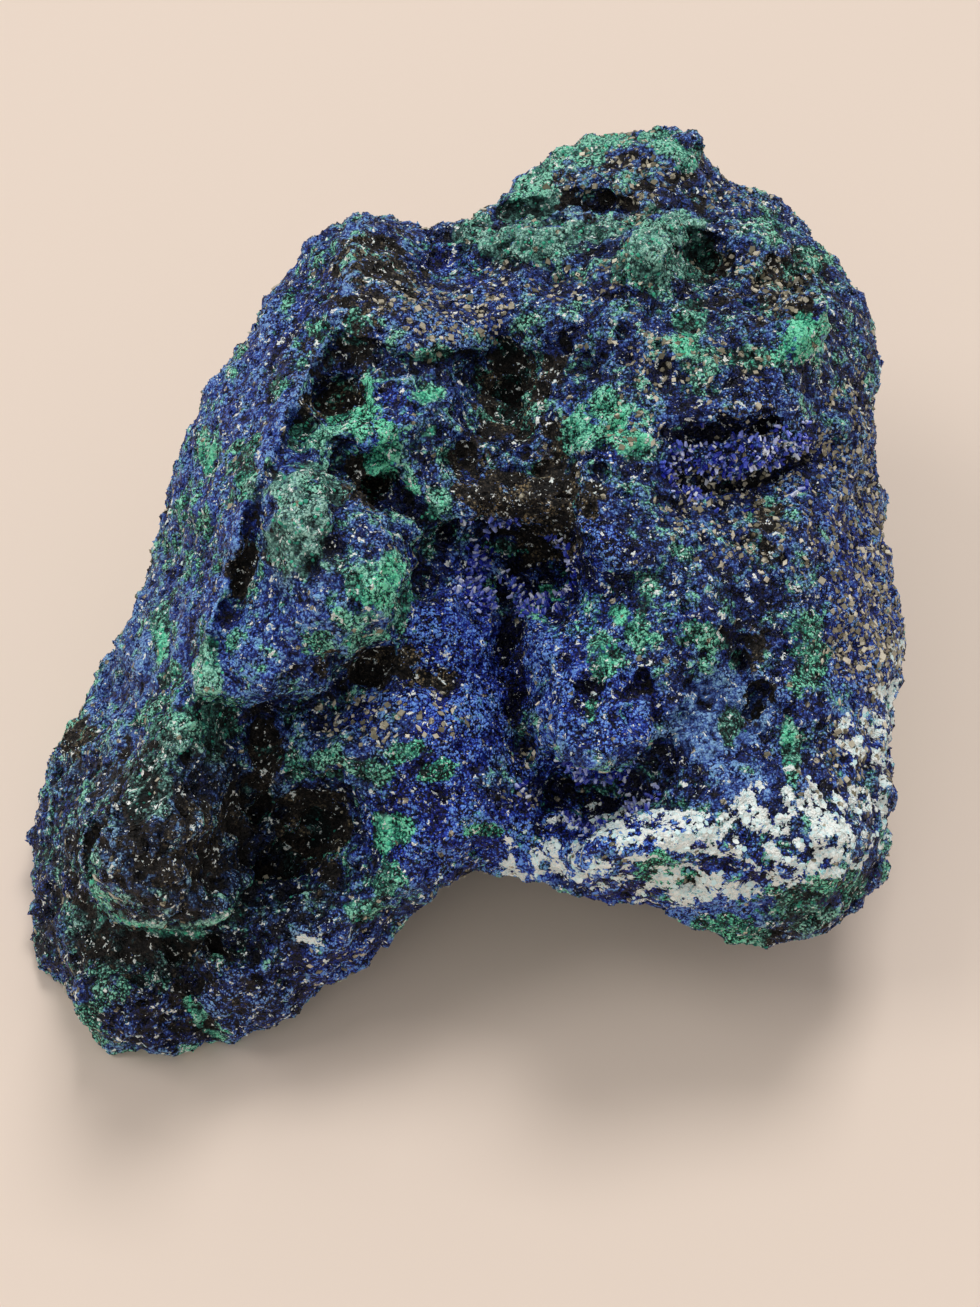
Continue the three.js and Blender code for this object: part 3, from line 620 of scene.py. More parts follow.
CREAM_ARC = stroke_along([(25, -36), (29, -34.2), (33, -33.6), (38, -36)], 0.9, 5)
# The foot's curl and the bulge's rim: thin lines of pale malachite, drawn lighter as a painted highlight
# on edges that catch the light.
FOOT_CURL = stroke_along([(-50, -58), (-47.5, -61.5), (-43.5, -65)], 0.8, 90)
BULGE_RIM = stroke_along([(-66, -38), (-63, -43.5), (-56.5, -46), (-50, -46.4), (-43, -43.6)], 0.8, 90)
BARE_OF_GREEN = [
    (-5, -5, 15, 18, 0), (17, -8, 10, 14, 5), (5, -30, 30, 9, 10), (45, 36, 13, 9, 10),
    (19, 18, 6, 8, 0), (-46, -30, 18, 14, 15), (-22, -53, 14, 7, 5), (62, 12, 8, 28, 5),
    (-38, 40, 7, 25, 15), (40, -42, 20, 6, 10), (5, 20, 10, 12, 0), (-8, 58, 15, 6, 15),
    (-38, -60, 22, 8, 0), (45, -15, 20, 12, 15),
]
MINT_SPOTS = [
    (-18.3, 32.5, 2.6, 3), (-9.4, 43, 2.4, 1.4), (-9.4, 36.8, 1.3, 1.4), (-13.3, 28, 1.5, 1),
    (-10.5, 23, 1, 1.8), (-7.5, 26, 1, 1.8), (-20, 44, 0.7, 4), (10.4, 9.9, 1.7, 1.2),
    (21, 38.5, 1.2, 3), (25.5, 36, 1.8, 1.6), (-47, 33, 1, 4), (52, 52, 1.6, 3), (7, 7, 0.7, 1.2),
    (-16.5, 13, 2.6, 2), (28, 3, 3, 2), (22, 6.5, 2, 1.5), (50, -14, 1.5, 3), (-16.5, -30, 2, 2.4),
    (-55, 2, 1.2, 3), (33, 52, 2, 1.6),
]
GREEN = (
    BARE_OF_GREEN + LEFT_WALL_GREEN + BASIN_GREEN + MINT_GREEN + LUMP_GREEN + RIGHT_GREEN + TOP_GREEN
    + LOW_GREEN + MINT_ARCH + MOUND_CREST + FOOT_CURL + BULGE_RIM + [(*spot, 78) for spot in MINT_SPOTS]
)
# How light the malachite is: partly its own tone, partly painted shade, darker on the lower-left bulge
# and foot.
GREEN_TONE = [
    (-45, 30, 14, 30, 45), (-47.5, -4, 3, 9, 85), (-20, 37, 12, 10, 85), (-32, 24, 8, 9, 66),
    (4, 44, 5, 8, 25), (20, 38, 8, 6, 75), (-19, 8, 7, 9, 70), (10.5, 10.5, 2.5, 2, 100),
    (28, 3, 12, 8, 55), (52, 52, 4, 5, 95), (30, 67, 8, 7, 75), (10, 71, 14, 6, 70),
    (13, 80, 12, 8, 75), (-48, -30, 17, 13, 15), (-52, -13, 10, 6, 55), (-30, -20, 25, 6, 40),
    (-28, -31, 7, 7, 15), (-17, -37, 6, 8, 40), (-56, -45, 14, 2, 50), (-60, -55, 16, 8, 8),
    (-44, -56, 14, 10, 12), (45, -46, 26, 6, 40),
]
GREEN_TONE += [(*spot, 115) for spot in MINT_SPOTS] + BULGE_RIM + FOOT_CURL
GREEN_TONE += [(*place, 80) for *place, _ in MOUND_CREST]

# %% Brown rock with painted shade in its holes, pale crust and tan flecks
# Brown rock. The strokes on the pits and holes paint their shade as dark brown rock.
BROWN_ROCK_AND_HOLE_SHADE = [
    (-46, -30, 18, 14, 40), (-5, -5, 14, 16, 8), (-32, 23, 6, 8, 35), (5, -30, 28, 8, 8),
    (6, 26, 12, 6.5, 90), (4, 42, 7, 9, 80), (22, 78, 9, 5, 75), (-26, 41, 5.5, 4.5, 80),
    (-21, 29, 4, 5, 80), (-17, -2, 9, 4, 85), (20, 78, 14, 6, 50), (-18, 63, 6, 7, 72),
    (-21, 56, 6, 5, 50), (-70, -14, 3.5, 4, 90), (-62, -34, 8, 14, 55), (-54, -12, 2, 1, 90),
    (-46, -16, 1.5, 1, 90), (-47, -30, 8, 7, 70), (-29, -30, 7, 7, 85), (-38, -16, 3, 7, 80),
    (-55, -51, 12, 5, 60), (-50, -58, 12, 6, 45), (35, 65, 4, 3, 90), (47, 62, 8, 6, 60),
    (-41, 14, 2.5, 6, 70), (45, 1, 3, 9, 60), (47, 21, 4, 6, 60), (33.3, -37.7, 2, 1.6, 100),
    (-30, 48, 4, 5, 50), (-21, 53, 4, 7, 60), (9, 19.5, 4.5, 5, 90), (-2, 33, 5, 4, 60),
    (52, -47, 12, 3, 60), (-60, -20, 7, 5, 50),
]
PALE = [
    (33, -30, 18, 5.5, 70), (14, -35, 10, 4, 60), (33.5, -39.2, 8, 3.8, 100), (52, -28.5, 16, 6.5, 47),
    (42, -30, 7, 4, 60), *CREAM_ARC, (33.3, -37.7, 1.9, 1.6, 0), (22, -35, 4, 3, 20),
    (56, -28, 4, 5, 70), (67, -11, 2.5, 10, 75), (62, -14, 4, 6, 50), (-8, -41.5, 1.2, 3.5, 95),
    (-28, -47.5, 2, 1.8, 50), (-22.5, -47, 1, 1.2, 50), (40, -45, 7, 3, 0), (36, -42.5, 4, 1.5, 10),
    (66, -26, 4, 6, 50),
]
TAN = [
    (-5, 56, 14, 5, 50), (30, 50, 12, 5, 45), (25, 40, 5, 7, 40), (43, 36, 10, 8, 20),
    (62, 17, 7, 26, 75), (65, 6, 4, 12, 100), (37, 22, 9, 8, 50), (53, 18, 9, 10, 35),
    (44, 78, 8, 4, 45), (3, -23, 5, 2, 40), (5, -17, 2, 2, 35), (60, -16, 8, 9, 40), (46, 63, 8, 5, 40),
    (22, 80, 10, 6, 40), (47, 60, 3, 2, 70), (-18, -12, 12, 4, 35), (-18, -44, 2, 2, 40),
    (-43.5, 24.5, 1, 1, 80), (10, 62, 12, 4, 35), (-10, -45, 8, 2, 30), (-24, -53, 8, 3, 20),
]

# %% How light and how vivid the azurite is, with painted light and shade in its lightness
# Lightness of the azurite: partly its own paler and darker patches, partly painted shade, darkest on the
# lower-left bulge and foot that face away from the lamps.
AZURITE_LIGHTNESS_AND_PAINTED_LIGHT = [
    (-52, -42, 26, 28, 6), (-45, 25, 14, 45, 74), (-60, 0, 12, 20, 85), (-21, 52, 5, 8, 20),
    (20, 17, 5, 8, 50), (14, 70, 20, 6, 50), (18, 80, 16, 8, 50), (-6, 64, 6, 4, 45),
    (-14, 68, 2, 2, 90), (-6, 64, 1.5, 1, 90), (28, 83, 2, 2, 70), (43, 36, 12, 8, 12),
    (53, 43, 2, 1.5, 90), (62, 10, 7, 26, 54), (-12, 42, 7, 7, 40), (-5, 2, 10, 12, 60),
    (-3, -13, 8, 6, 50), (6, 15, 9, 8, 30), (-1, 14, 4, 5, 50), (19, 17.5, 6, 5.5, 8),
    (17, -9, 9, 11, 55), (17, -24, 9, 4, 5), (35, -14, 3, 6, 95), (40, -21, 6, 4, 85),
    (30, -19, 5, 5, 25), (59, -9, 3, 2.5, 100), (35, -45, 7, 3.5, 80), (-1, -30, 9, 6, 52),
    (-18, -12, 12, 4, 50), (-22, -53, 8, 6, 40), (-48, -62, 14, 5, 8), (-46, -30, 18, 14, 12),
    (-29, -30, 7, 6, 2), (-58, -50, 14, 7, 2), (-63, -30, 4, 10, 30), (40, -47, 26, 4, 30),
    (49.5, 52, 1, 3.5, 100), (10, -36, 8, 4, 90), (40, -44, 10, 4, 100), (38, -10, 8, 8, 100),
    (36, -43.5, 9, 4, 100), (-20, 8, 8, 9, 60),
]
AZURITE_LIGHTNESS_AND_PAINTED_LIGHT += [(4, -4, 2, 12, 8), (28, -15, 2, 5, 20), (36, -12, 4, 6, 100), (25, 5, 6, 5, 75)]
# Painted highlights: lighter azurite along the crests of the ridge and the horseshoe, with a darker spot
# inside the horseshoe.
AZURITE_LIGHTNESS_AND_PAINTED_LIGHT += stroke_along(RIDGE[:7], 1.2, 90) + stroke_along(HORSESHOE, 2.5, 70) + [(17.5, -6, 3, 4, 12)]
VIVID = [
    (-45, 25, 14, 45, 70), (-5, -5, 14, 18, 100), (17, 0, 12, 22, 90), (5, -30, 30, 10, 100),
    (35, -40, 20, 9, 100), (43, 36, 12, 9, 60), (60, 0, 10, 26, 75), (-22, -53, 12, 6, 80),
    (-6, 64, 7, 4, 90), (-48, -30, 20, 16, 15), (-30, -66, 22, 8, 60), (-33, 60, 6, 14, 70),
    (-4, 54, 16, 8, 55), (-58, 8, 6, 16, 50), (-32, 22, 7, 9, 15), (-20, 37, 7, 7, 95),
    (10, 71, 16, 5, 25), (30, 67, 8, 6, 30), (52, 52, 4, 4, 95), (20, 38, 7, 6, 80),
    (-47.5, -4, 3, 9, 45), (-56, -46, 14, 5, 15), (50, -46, 22, 5, 30), (28, 4, 12, 7, 70),
    (39, -10, 8, 7, 40), (38, -44, 10, 4, 90),
]

# %% How deep each place is sunk
MEAN_SUNK = 0.4
SUNK_SHARES = {8: 0.45, 70: 0.16}


def sunk_depths(mesh, rounds):
    """How far, in mm, each vertex lies below its neighbourhood; more rounds take in a wider one."""
    ends = np.empty(len(mesh.edges) * 2, dtype=np.int64)
    mesh.edges.foreach_get("vertices", ends)
    one, other = ends[0::2], ends[1::2]
    points = vertex_array(mesh)
    neighbours = np.bincount(ends, minlength=len(points))
    level = points.copy()
    for _ in range(rounds):
        for axis in range(3):
            total = np.bincount(one, level[other, axis], len(points))
            total += np.bincount(other, level[one, axis], len(points))
            level[:, axis] = total / neighbours
    return np.sum((level - points) * vertex_array(mesh, "normal"), axis=1) / MM


# The shader draws the colours darker where a place lies deep: painted shade in hollows and creases.
sunk = sum((share * sunk_depths(stone.data, rounds) for rounds, share in SUNK_SHARES.items()), MEAN_SUNK)
sunk = np.minimum(sunk, 2 * MEAN_SUNK)

# %% Paint the layers
PATCHY = 0.55
ISLAND_SIZE = 2.4
VEIN_SIZE = 16.0
BACK_SIZE = 22.0
PAINTED_FACING = (0.02, 0.3)

skin = vertex_array(stone.data)
on_face = eased(*PAINTED_FACING, facing_eye(stone.data))
island_noise = drift(skin, ISLAND_SIZE, seed=6)[:, 0]
vein_noise = drift(skin, VEIN_SIZE, seed=3)
back_noise = drift(skin, BACK_SIZE, seed=4)
sheet_a, sheet_b, fray = shaken_sheet(skin)
fray *= PATCHY


def layer(name, ground, strokes, behind, islands=0):
    """Paints one layer, `behind` being its far side, breaks it into islands if asked, and keeps it."""
    front = painted(sheet_a, sheet_b, fray, ground, strokes)
    values = behind + (front - behind) * on_face
    if islands:
        broken = eased(0.35, 0.6, values + islands * (1.2 - values) * island_noise)
        values = broken * eased(0.02, 0.2, values)
    keep_layer(stone.data, name, values)
    print(name, "covers", round(100 * float(np.mean(values > 0.5))), "% of the stone")


layer("green", 0.3, GREEN, 0.32 + 0.6 * back_noise[:, 0] + 0.2 * vein_noise[:, 0])
layer("green_tone", 0.5, GREEN_TONE, 0.45 + 0.4 * vein_noise[:, 1])
layer("brown_rock_and_hole_shade", 0.18, BROWN_ROCK_AND_HOLE_SHADE, 0.36 + 0.6 * back_noise[:, 1] + 0.2 * vein_noise[:, 2])
layer("pale", 0.0, PALE, 0.05 + 0.5 * np.clip(back_noise[:, 2] - 0.25, 0, 1), islands=2.0)
layer("tan", 0.04, TAN, 0.12 + 0.3 * vein_noise[:, 0])
layer("glow", 0.38, AZURITE_LIGHTNESS_AND_PAINTED_LIGHT, 0.4 + 0.4 * vein_noise[:, 1])
layer("vivid", 0.55, VIVID, 0.6 + 0.5 * vein_noise[:, 2])
keep_layer(stone.data, "sunk", sunk)

# %% [markdown]
# ## The stone's colours
# Seen close, the skin is a mosaic of grains of about a millimetre and crumbs of less than half that. So
# the shader makes both with Voronoi textures and lets each grain's random number, with two soft noises,
# fray the layers: a place is malachite where the layer `green` and these add up to enough, and so on.
# Each mineral then has a colour ramp of its own, from its darkest to its palest crumbs. Everything
# reads Object coordinates in millimetres, so the pattern sits in the rock and has no seams.


# %% Colour helpers
def hue(*screen):
    """The linear colour that a shader takes, from a colour as on a screen, 0 to 255."""
    shares = [value / 255 for value in screen]
    linear = [part / 12.92 if part <= 0.04045 else ((part + 0.055) / 1.055) ** 2.4 for part in shares]
    return (*linear, 1.0)


def stops(places, *colours):
    """The stops of a colour ramp, from places of 0 to 1 and colours as on a screen."""
    return [(place, hue(*colour)) for place, colour in zip(places, colours)]


def ramp(tree, factor, palette):
    """A colour ramp through the stops of a palette."""
    made = tree.nodes.new("ShaderNodeValToRGB")
    elements = made.color_ramp.elements
    while len(elements) < len(palette):
        elements.new(1.0)
    for element, (place, colour) in zip(elements, palette):
        element.position, element.color = place, colour
    fill(tree, made.inputs[0], factor)
    return made.outputs[0]


def blend(tree, share, under, over):
    """One colour laid over another."""
    made = tree.nodes.new("ShaderNodeMix")
    made.data_type = "RGBA"
    fill(tree, made.inputs[0], share)
    fill(tree, made.inputs[6], under)
    fill(tree, made.inputs[7], over)
    return made.outputs[2]


def layer_of(tree, name):
    """The value of one of the stone's layers, for a shader."""
    return add(tree, "ShaderNodeAttribute", attribute_name=name).outputs["Fac"]


def new_material(name):
    """A new material, its tree and its shader."""
    material = bpy.data.materials.new(name)
    material.use_nodes = True
    return material, material.node_tree, material.node_tree.nodes["Principled BSDF"]


def rock_place(tree):
    """The place in the rock, in mm."""
    return scaled(tree, add(tree, "ShaderNodeTexCoord").outputs["Object"], 1 / MM)


def roughen(tree, shader, height, strength, distance):
    """Makes the shading rough by a height, `distance` in mm."""
    sockets = {"Height": height, "Strength": strength, "Distance": distance * MM}
    fill(tree, shader.inputs["Normal"], add(tree, "ShaderNodeBump", sockets).outputs[0])


QUARTERS = (0.0, 0.25, 0.5, 0.75, 1.0)
SLATE_BLUES = stops(QUARTERS, (4, 7, 15), (18, 27, 44), (41, 61, 95), (88, 124, 158), (150, 190, 208))
VIVID_BLUES = stops(QUARTERS, (1, 2, 24), (10, 15, 76), (24, 38, 138), (48, 82, 205), (116, 164, 242))
# Druse crystal blues, drawn lighter than their own colour against the shade of their hollows, and white
# at the palest end as painted glints.
CRYSTAL_BLUES_WITH_PAINTED_LIGHT = stops((0.0, 0.4, 0.7, 1.0), (4, 6, 44), (34, 44, 165), (104, 124, 238), (240, 244, 255))
GREENS = stops(QUARTERS, (4, 18, 16), (18, 56, 50), (46, 122, 108), (72, 188, 150), (136, 240, 196))
SAGES = stops(QUARTERS, (5, 9, 10), (30, 43, 44), (68, 94, 93), (112, 154, 146), (178, 214, 204))
# Colours of the brown rock. The near-black end also serves as painted shade in hollows.
BROWN_ROCK_AND_SHADE_COLOURS = stops(
    (0.0, 0.3, 0.55, 0.8, 1.0), (6, 6, 7), (28, 25, 23), (58, 50, 42), (100, 92, 74), (146, 124, 90)
)
PALES = stops((0.0, 0.3, 0.55, 1.0), (62, 130, 158), (150, 214, 220), (226, 250, 250), (255, 255, 248))
# Colours of painted glints: near-white crumbs that stand in for highlights off crystal faces.
PAINTED_GLINTS = stops((0.0, 0.5, 1.0), (96, 120, 190), (150, 172, 210), (225, 228, 226))
TANS = stops((0.0, 0.45, 1.0), (78, 76, 62), (142, 134, 112), (232, 222, 200))


# %% Rock material
GRAIN_SCALE = 0.85
CRUMB_SCALE = 2.5
FLECK_SCALE = 0.8
PAINTED_GLINT_SCALE = 3.4
CLOUD_SCALE = 0.22
MOTTLE_SCALE = 0.8
WANDER_SCALE, WANDER_REACH = 0.9, 0.9


def rock_material():
    """Every mineral in one material: a mosaic of grains, each coloured by its own mineral, with painted
    shade in hollows and between crumbs and a few painted glints.
    """
    material, tree, shader = new_material("mineral_rock")
    in_mm = rock_place(tree)
    strayed = astray(tree, in_mm, smooth_noise(tree, in_mm, WANDER_SCALE, 2.0), WANDER_REACH)

    def centred(socket):
        """A value of 0 to 1 as one of -0.5 to 0.5."""
        return sum_up(tree, "SUBTRACT", socket, 0.5)

    def mixture(start, *weighted):
        """A number plus some values, each times its weight."""
        total = start
        for value, weight in weighted:
            total = sum_up(tree, "MULTIPLY_ADD", value, weight, total)
        return total

    def mosaic(scale):
        """Cells of 1 / scale mm: each place's distance from the middle and three random numbers."""
        made = cells(tree, strayed, scale)
        randoms = add(tree, "ShaderNodeSeparateColor", {"Color": made.outputs["Color"]}).outputs
        return made.outputs["Distance"], *randoms[:3]

    grain_distance, *grain_randoms = mosaic(GRAIN_SCALE)
    crumb_distance, *crumb_randoms = mosaic(CRUMB_SCALE)
    grain_one, grain_two, grain_three = map(centred, grain_randoms)
    crumb_one, crumb_two, crumb_three = map(centred, crumb_randoms)
    cloud = smooth_noise(tree, in_mm, CLOUD_SCALE, 7.0).outputs["Fac"]
    mottle = smooth_noise(tree, strayed, MOTTLE_SCALE, 5.0).outputs["Fac"]
    clouds, mottles = centred(cloud), centred(mottle)
    names = ("green", "green_tone", "brown_rock_and_hole_shade", "pale", "tan", "glow", "vivid")
    green, green_shade, brown_rock_and_hole_shade, pale, tan, glow, vivid = (layer_of(tree, name) for name in names)
    tone = centred(layer_of(tree, "tone"))
    # How far below its neighbourhood a place lies, less the mean. Colours get darker where it is deep, as
    # painted shade, brown rock spreads into hollows as painted shade too, and painted glints grow fewer.
    depth = sum_up(tree, "SUBTRACT", layer_of(tree, "sunk"), MEAN_SUNK)
    # Darker towards each crumb's border: painted shade between the crumbs, in the blues, greens, brown
    # rock and pale crust.
    crumb_border_shade = centred(crumb_distance)
    unrest = from_to(tree, cloud, 0.38, 0.62, 0.5, 1.35)
    busy = times(tree, unrest, mixture(0.45, (vivid, 0.8), (depth, -0.9)))

    def speckle(crumb_value):
        """Light and dark crumbs, darker towards their borders as painted shade between them, calmer in
        some places than in others.
        """
        return times(tree, mixture(0.0, (crumb_value, 1.0), (crumb_border_shade, -1.0)), busy)

    # What each mineral looks like; every tone is drawn darker where `depth` is deep, as painted shade.
    blue_tone = mixture(
        0.06, (glow, 0.72), (speckle(crumb_one), 1.0), (grain_one, 0.35), (mottles, 1.0), (clouds, 0.6),
        (tone, 0.4), (depth, -0.55),
    )
    azurite = blend(tree, vivid, ramp(tree, blue_tone, SLATE_BLUES), ramp(tree, blue_tone, VIVID_BLUES))
    green_tone = mixture(
        0.0, (green_shade, 0.78), (speckle(crumb_two), 1.0), (grain_one, 0.35), (mottles, 1.0),
        (clouds, 0.5), (tone, 0.4), (depth, -0.6),
    )
    is_rich = sum_up(tree, "MAXIMUM", vivid, from_to(tree, green_shade, 0.75, 1.0))
    malachite = blend(tree, is_rich, ramp(tree, green_tone, SAGES), ramp(tree, green_tone, GREENS))
    brown_and_shade_tone = mixture(
        0.39, (clouds, 0.9), (speckle(crumb_three), 0.9), (mottles, 0.9), (tone, 0.25), (depth, -0.15)
    )
    pale_tone = mixture(0.84, (mottles, 1.2), (crumb_one, 0.5), (crumb_border_shade, -0.7), (tone, 0.2))
    tan_tone = mixture(0.45, (crumb_two, 0.8), (mottles, 0.8))

    # Where each mineral is.
    green_sum = mixture(0.105, (green, 0.85), (grain_one, 0.12), (clouds, 1.3), (mottles, 0.8))
    is_green = from_to(tree, green_sum, 0.46, 0.55)
    is_veiled = from_to(tree, green_sum, 0.3, 0.5, 0.0, 0.3)
    # Brown rock, and its dark colours in deep places as painted shade.
    brown_and_shade_sum = mixture(
        0.05, (brown_rock_and_hole_shade, 0.85), (grain_two, 0.2), (clouds, -1.1), (mottles, -0.9), (depth, 0.25)
    )
    is_brown_and_shade = from_to(tree, brown_and_shade_sum, 0.42, 0.58)
    pale_sum = mixture(0.0, (pale, 0.8), (mottles, 1.9), (grain_three, 0.6), (crumb_three, 0.5))
    is_pale = from_to(tree, pale_sum, 0.48, 0.51)
    fleck_distance, _, _, fleck_random = mosaic(FLECK_SCALE)
    is_fleck = sum_up(tree, "LESS_THAN", fleck_random, mixture(0.0, (tan, 0.6), (depth, -0.05)))
    is_tan = times(tree, is_fleck, from_to(tree, fleck_distance, 0.36, 0.43, 1.0, 0.0))
    # Painted glints: a few tiny crumbs coloured pale, fewer in hollows.
    glint_distance, glint_random, glint_tone, _ = mosaic(PAINTED_GLINT_SCALE)
    glints = sum_up(tree, "GREATER_THAN", glint_random, mixture(0.955, (depth, 0.15), (vivid, -0.05)))
    is_painted_glint = times(tree, glints, from_to(tree, glint_distance, 0.25, 0.4, 1.0, 0.0))
    colour = blend(tree, is_veiled, azurite, malachite)
    colour = blend(tree, is_brown_and_shade, colour, ramp(tree, brown_and_shade_tone, BROWN_ROCK_AND_SHADE_COLOURS))
    colour = blend(tree, is_green, colour, malachite)
    colour = blend(tree, is_painted_glint, colour, ramp(tree, glint_tone, PAINTED_GLINTS))
    colour = blend(tree, is_pale, colour, ramp(tree, pale_tone, PALES))
    colour = blend(tree, is_tan, colour, ramp(tree, tan_tone, TANS))
    fill(tree, shader.inputs["Base Color"], colour)

    rough = mixture(
        0.42, (crumb_one, 0.35), (tone, -0.2), (is_green, 0.12), (is_brown_and_shade, 0.3), (is_pale, 0.3)
    )
    fill(tree, shader.inputs["Roughness"], rough)
    shader.inputs["IOR"].default_value = 1.6
    shader.inputs["Specular IOR Level"].default_value = 0.2
    height = mixture(0.0, (grain_distance, -0.6), (crumb_distance, -0.5), (mottle, 0.8), (is_pale, 0.3))
    roughen(tree, shader, height, strength=0.9, distance=0.7)
    return material


# %% Dress the stone
ROCK_SLOT = "azurite_malachite_rock"


def dress(piece, material, slot, *nodes):
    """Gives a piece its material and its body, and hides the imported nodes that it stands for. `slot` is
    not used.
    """
    piece.data.materials.clear()
    piece.data.materials.append(material)
    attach(piece, "root")
    if nodes:
        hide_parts(*nodes)
    triangles = sum(len(polygon.vertices) - 2 for polygon in piece.data.polygons)
    print(piece.name, "has", triangles, "triangles")


keep_layer(stone.data, "tone", np.full(len(stone.data.vertices), 0.5))
ROCK = rock_material()
dress(stone, ROCK, ROCK_SLOT, "stone")

# %% [markdown]
# ## Grains
# The skin is a grit of small blocky grains that glint one by one, malachite grows on it as tiny rounded
# knobs, the pale crust breaks into flakes, and chips of clay cling to them all. One tree scatters each
# kind: points thrown on the faces as thickly as a layer says, one simple closed shape on each, turned
# and sized at random, and made real mesh at the end. Bump alone gives no glints and no rough outline.


# %% Scattering tree
CONES = {"block": (4, 0.0, 0.6, 0.65), "spike": (5, 0.2, 0.4, 1.0)}
SLAB_SIDES = {"flake": 5, "chip": 4}


def grain_shape(tree, form):
    """One closed shape of about 1 mm: a 'block', 'knob', 'flake', 'chip' or 'spike'."""
    if form == "knob":
        return add(tree, "GeometryNodeMeshIcoSphere", {"Radius": 0.5 * MM, "Subdivisions": 1}).outputs[0]
    if form in CONES:
        kind, (sides, top, bottom, depth) = "GeometryNodeMeshCone", CONES[form]
        sizes = {"Radius Top": top * MM, "Radius Bottom": bottom * MM, "Depth": depth * MM}
    else:
        kind, sides = "GeometryNodeMeshCylinder", SLAB_SIDES[form]
        sizes = {"Radius": 0.5 * MM, "Depth": 0.25 * MM}
    return add(tree, kind, {"Vertices": sides, **sizes}, fill_type="NGON").outputs["Mesh"]


def random_value(tree, low, high, seed):
    """A random number for each point, or a random vector where `low` is one."""
    kind, first, out = ("FLOAT_VECTOR", 0, 0) if isinstance(low, tuple) else ("FLOAT", 2, 1)
    sockets = {first: low, first + 1: high, "Seed": seed}
    return add(tree, "FunctionNodeRandomValue", sockets, data_type=kind).outputs[out]


def scattering_tree(form, lean, flatness, smooth, slimness=0.7):
    """Scatters one form. `lean` is how far it tips, in degrees, `flatness` its height share and
    `slimness` the width share of its slimmest grains."""
    sockets = dict.fromkeys(("Density", "Smallest", "Largest", "Sunk"), "Float")
    sockets.update(Seed="Int", Material="Material")
    tree, start, end = geometry_tree("scatter_" + form, sockets)
    given = start.outputs
    thickness = times(tree, named(tree, "thick"), given["Density"])
    throw = {"Mesh": given["Geometry"], "Density": thickness, "Seed": given["Seed"]}
    points = add(tree, "GeometryNodeDistributePointsOnFaces", throw)
    sizes = random_value(tree, given["Smallest"], given["Largest"], 11)
    stretch = random_value(tree, (slimness, 0.8, 0.7 * flatness), (1.1, 1.2, 1.2 * flatness), 12)
    tip = math.radians(lean)
    turn = random_value(tree, (-tip, -tip, -math.pi), (tip, tip, math.pi), 13)
    turn = add(tree, "FunctionNodeEulerToRotation", {0: turn}).outputs[0]
    turns = {0: points.outputs["Rotation"], 1: turn}
    grain = {
        "Points": points.outputs["Points"],
        "Instance": grain_shape(tree, form),
        "Rotation": add(tree, "FunctionNodeRotateRotation", turns, rotation_space="LOCAL").outputs[0],
        "Scale": scaled(tree, stretch, sizes),
    }
    placed = add(tree, "GeometryNodeInstanceOnPoints", grain)
    down = add(tree, "ShaderNodeCombineXYZ", {2: times(tree, given["Sunk"], -MM)})
    move = {"Instances": placed.outputs[0], "Translation": down.outputs[0], "Local Space": True}
    sunk = add(tree, "GeometryNodeTranslateInstances", move)
    mark = {"Geometry": sunk.outputs[0], "Name": "tone", "Value": random_value(tree, 0.0, 1.0, 14)}
    toned = add(tree, "GeometryNodeStoreNamedAttribute", mark, data_type="FLOAT", domain="INSTANCE")
    real = add(tree, "GeometryNodeRealizeInstances", {0: toned.outputs[0]})
    shaded = add(tree, "GeometryNodeSetShadeSmooth", {0: real.outputs[0], 2: smooth})
    dressing = {"Geometry": shaded.outputs[0], "Material": given["Material"]}
    tree.links.new(add(tree, "GeometryNodeSetMaterial", dressing).outputs[0], end.inputs[0])
    return tree


BLOCKS = scattering_tree("block", lean=60, flatness=0.9, smooth=False)
KNOBS = scattering_tree("knob", lean=30, flatness=0.7, smooth=True)
FLAKES = scattering_tree("flake", lean=18, flatness=1.0, smooth=False)
CHIPS = scattering_tree("chip", lean=25, flatness=0.8, smooth=False, slimness=0.3)
SPIKES = scattering_tree("spike", lean=38, flatness=1.0, smooth=False)


# %% Growing tool
def read_layer(name):
    """One of the stone's layers as an array."""
    values = np.empty(len(stone.data.vertices))
    stone.data.attributes[name].data.foreach_get("value", values)
    return values


def grow(name, tree, thick, material, slot=ROCK_SLOT, nodes=(), **sizes):
    """Grows one kind of grain on the stone, as thickly as `thick` says at each vertex."""
    mesh = stone.data.copy()
    keep_layer(mesh, "thick", thick)
    piece = put(name, mesh)
    run_tree(piece, tree, material=material, **sizes)
    move_vertices(piece.data, np.clip(vertex_array(piece.data), *CAD_BOX))
    dress(piece, material, slot, *nodes)


# %% Grain materials
def grain_material(name, palette, weights, roughness, shine=0.2):
    """A mineral grain: its colour from its own tone and from the layers under it."""
    material, tree, shader = new_material(name)
    in_mm = rock_place(tree)
    factor = times(tree, smooth_noise(tree, in_mm, 1.6).outputs["Fac"], 0.3)
    for layer_name, weight in weights.items():
        factor = sum_up(tree, "MULTIPLY_ADD", layer_of(tree, layer_name), weight, factor)
    fill(tree, shader.inputs["Base Color"], ramp(tree, factor, palette))
    fill(tree, shader.inputs["Roughness"], from_to(tree, layer_of(tree, "tone"), 0, 1, *roughness))
    shader.inputs["Specular IOR Level"].default_value = shine
    fine = smooth_noise(tree, in_mm, 4.0, 2.0).outputs["Fac"]
    roughen(tree, shader, fine, strength=0.35, distance=0.2)
    return material


